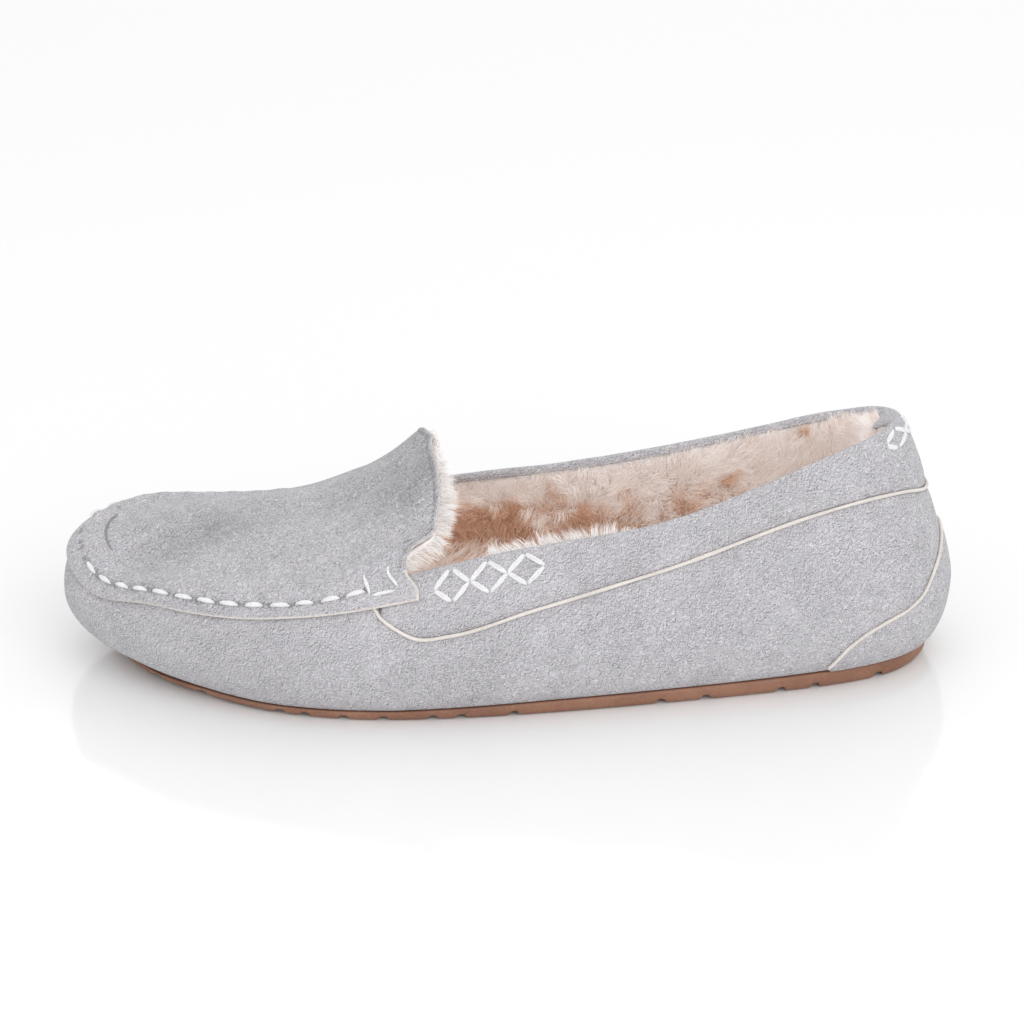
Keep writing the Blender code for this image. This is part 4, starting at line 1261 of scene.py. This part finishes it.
def make_plug_fur():
    """The lining under the plug, and its fringe along the throat."""
    shares = np.linspace(EAR + 0.001, 1 - EAR - 0.001, 240)
    across = np.linspace(0.0, 1.0, 30)
    over = plug_points(shares, np.repeat(2 + across[None], len(shares), 0))
    normal = normals_of(over, past=over[::-1, -2])
    rim = from_edges(over, "first", "last")
    under = over - UP * (4.4 - 2.8 * np.exp(-rim / 2.0))[..., None]
    # The backing is browner further in from the throat, under the plug: painted shade.
    made = make_pile("plug_lining_pile", over - UP * 0.5, under, sewn_fan(*rim.shape), ["plug_lining"],
                     0.7 * smooth(6.0, 26.0, rim))
    weld(made)

    weight = smooth(40.0, 20.0, rim)
    roots, normals, _, _ = scatter(under, -normal, TOE_DENSITY, np.random.default_rng(61), weight)
    lay = np.tile(np.array([0.9, 0.0, -0.1]), (len(roots), 1))
    apex = smooth(58.0, 66.0, roots[:, 2])
    lengths = (PLUG_LENGTH + 1.5 * soft_noise(roots, 8.0, 62)) * (1 - 0.6 * apex)
    tones = 0.35 + 0.25 * soft_noise(roots, 10.0, 63) - 0.35 * apex
    grow("plug_strands", roots, normals, lay, lengths, tones, 64)

    high = smooth(0.70, 1.0, across)[:, None]
    for name, rows, edge, before, seed in (("fringe_outer", slice(0, 5), 0, 6, 71),
                                           ("fringe_inner", slice(-5, None), -1, -7, 72)):
        patch = over[rows] - normal[rows] * 1.0
        grain = unit(over[edge] - over[before])[None]
        grain = unit(0.30 * grain + np.array([0.75, 0.0, -0.40]) - 0.9 * high * UP)
        grain = np.broadcast_to(grain, patch.shape)
        roots, lay, _, column = scatter(patch, grain, FRINGE_DENSITY, np.random.default_rng(seed))
        _, normals, _, _ = scatter(patch, normal[rows], FRINGE_DENSITY, np.random.default_rng(seed))
        lengths = (FRINGE_LENGTH + 1.6 * soft_noise(roots, 6.0, 73)) * (1 - 0.74 * smooth(0.45, 0.95, column))
        tones = 0.10 * soft_noise(roots, 5.0, 74)
        grow(name, roots, -0.2 * normals, lay, lengths, tones, seed + 5, spacing=2.0, width=0.14,
             upright=1.0, gather=0.5, curl=0.7, start=0.4, wild=1.7, painted_lit=True)


make_quarter_fur()
make_insole_fur()
make_vamp_fur()
make_plug_fur()


# ---------------- camera, light and floor
AIM = (1.5, 0.0, 44.7)  # the point in the middle of the picture
CAMERA_TURN, CAMERA_RISE, CAMERA_AWAY = math.radians(-3.0), math.radians(24.0), 1.0
LENS, SENSOR = 122.17, 36.0
FLOOR_HALF = 6.0
LAMPS = (  # name, place, width and power
    ("key", (0.6, -1.3, 0.9), 1.4, 11.0),
    ("fill", (-1.0, -1.0, 0.7), 1.2, 2.0),
    ("rim", (0.2, 1.0, 1.2), 1.2, 2.0),
)
LAMP_AIM = Vector((0, 0, 0.03))


def make_floor():
    paint = Paint("floor", 0.12, specular=0.5)
    fill(paint.shader, IOR=1.75, Base_Color=(0.90, 0.90, 0.90, 1.0))
    mesh = bpy.data.meshes.new("floor")
    corners = [(x * FLOOR_HALF, y * FLOOR_HALF, 0) for x, y in ((-1, -1), (1, -1), (1, 1), (-1, 1))]
    mesh.from_pydata(corners, [], [(0, 1, 2, 3)])
    mesh.materials.append(paint.material)
    floor = add_object("floor", mesh)


def make_camera():
    aim = (np.array(AIM) + CENTRING) * MM
    flat = math.cos(CAMERA_RISE)
    back = Vector((math.sin(CAMERA_TURN) * flat, -math.cos(CAMERA_TURN) * flat, math.sin(CAMERA_RISE)))
    camera = add_object("camera", bpy.data.cameras.new("camera"))
    camera.data.sensor_width = SENSOR
    camera.data.lens = LENS
    camera.data.clip_start, camera.data.clip_end = 0.01, 50.0
    camera.location = Vector(aim) + back * CAMERA_AWAY
    camera.rotation_euler = (-back).to_track_quat("-Z", "Y").to_euler()
    bpy.context.scene.camera = camera


def make_lights():
    scene = bpy.context.scene
    scene.view_settings.view_transform = "Standard"
    scene.view_settings.look = "None"
    scene.world = bpy.data.worlds.new("studio")
    scene.world.use_nodes = True
    fill(scene.world.node_tree.nodes["Background"], Color=(1.0, 1.0, 1.0, 1.0), Strength=0.92)
    for name, spot, size, power in LAMPS:
        lamp = bpy.data.lights.new(name, "AREA")
        lamp.size, lamp.energy = size, power
        light = add_object(name, lamp)
        light.location = spot
        light.rotation_euler = (LAMP_AIM - Vector(spot)).to_track_quat("-Z", "Y").to_euler()


make_floor()
make_camera()
make_lights()
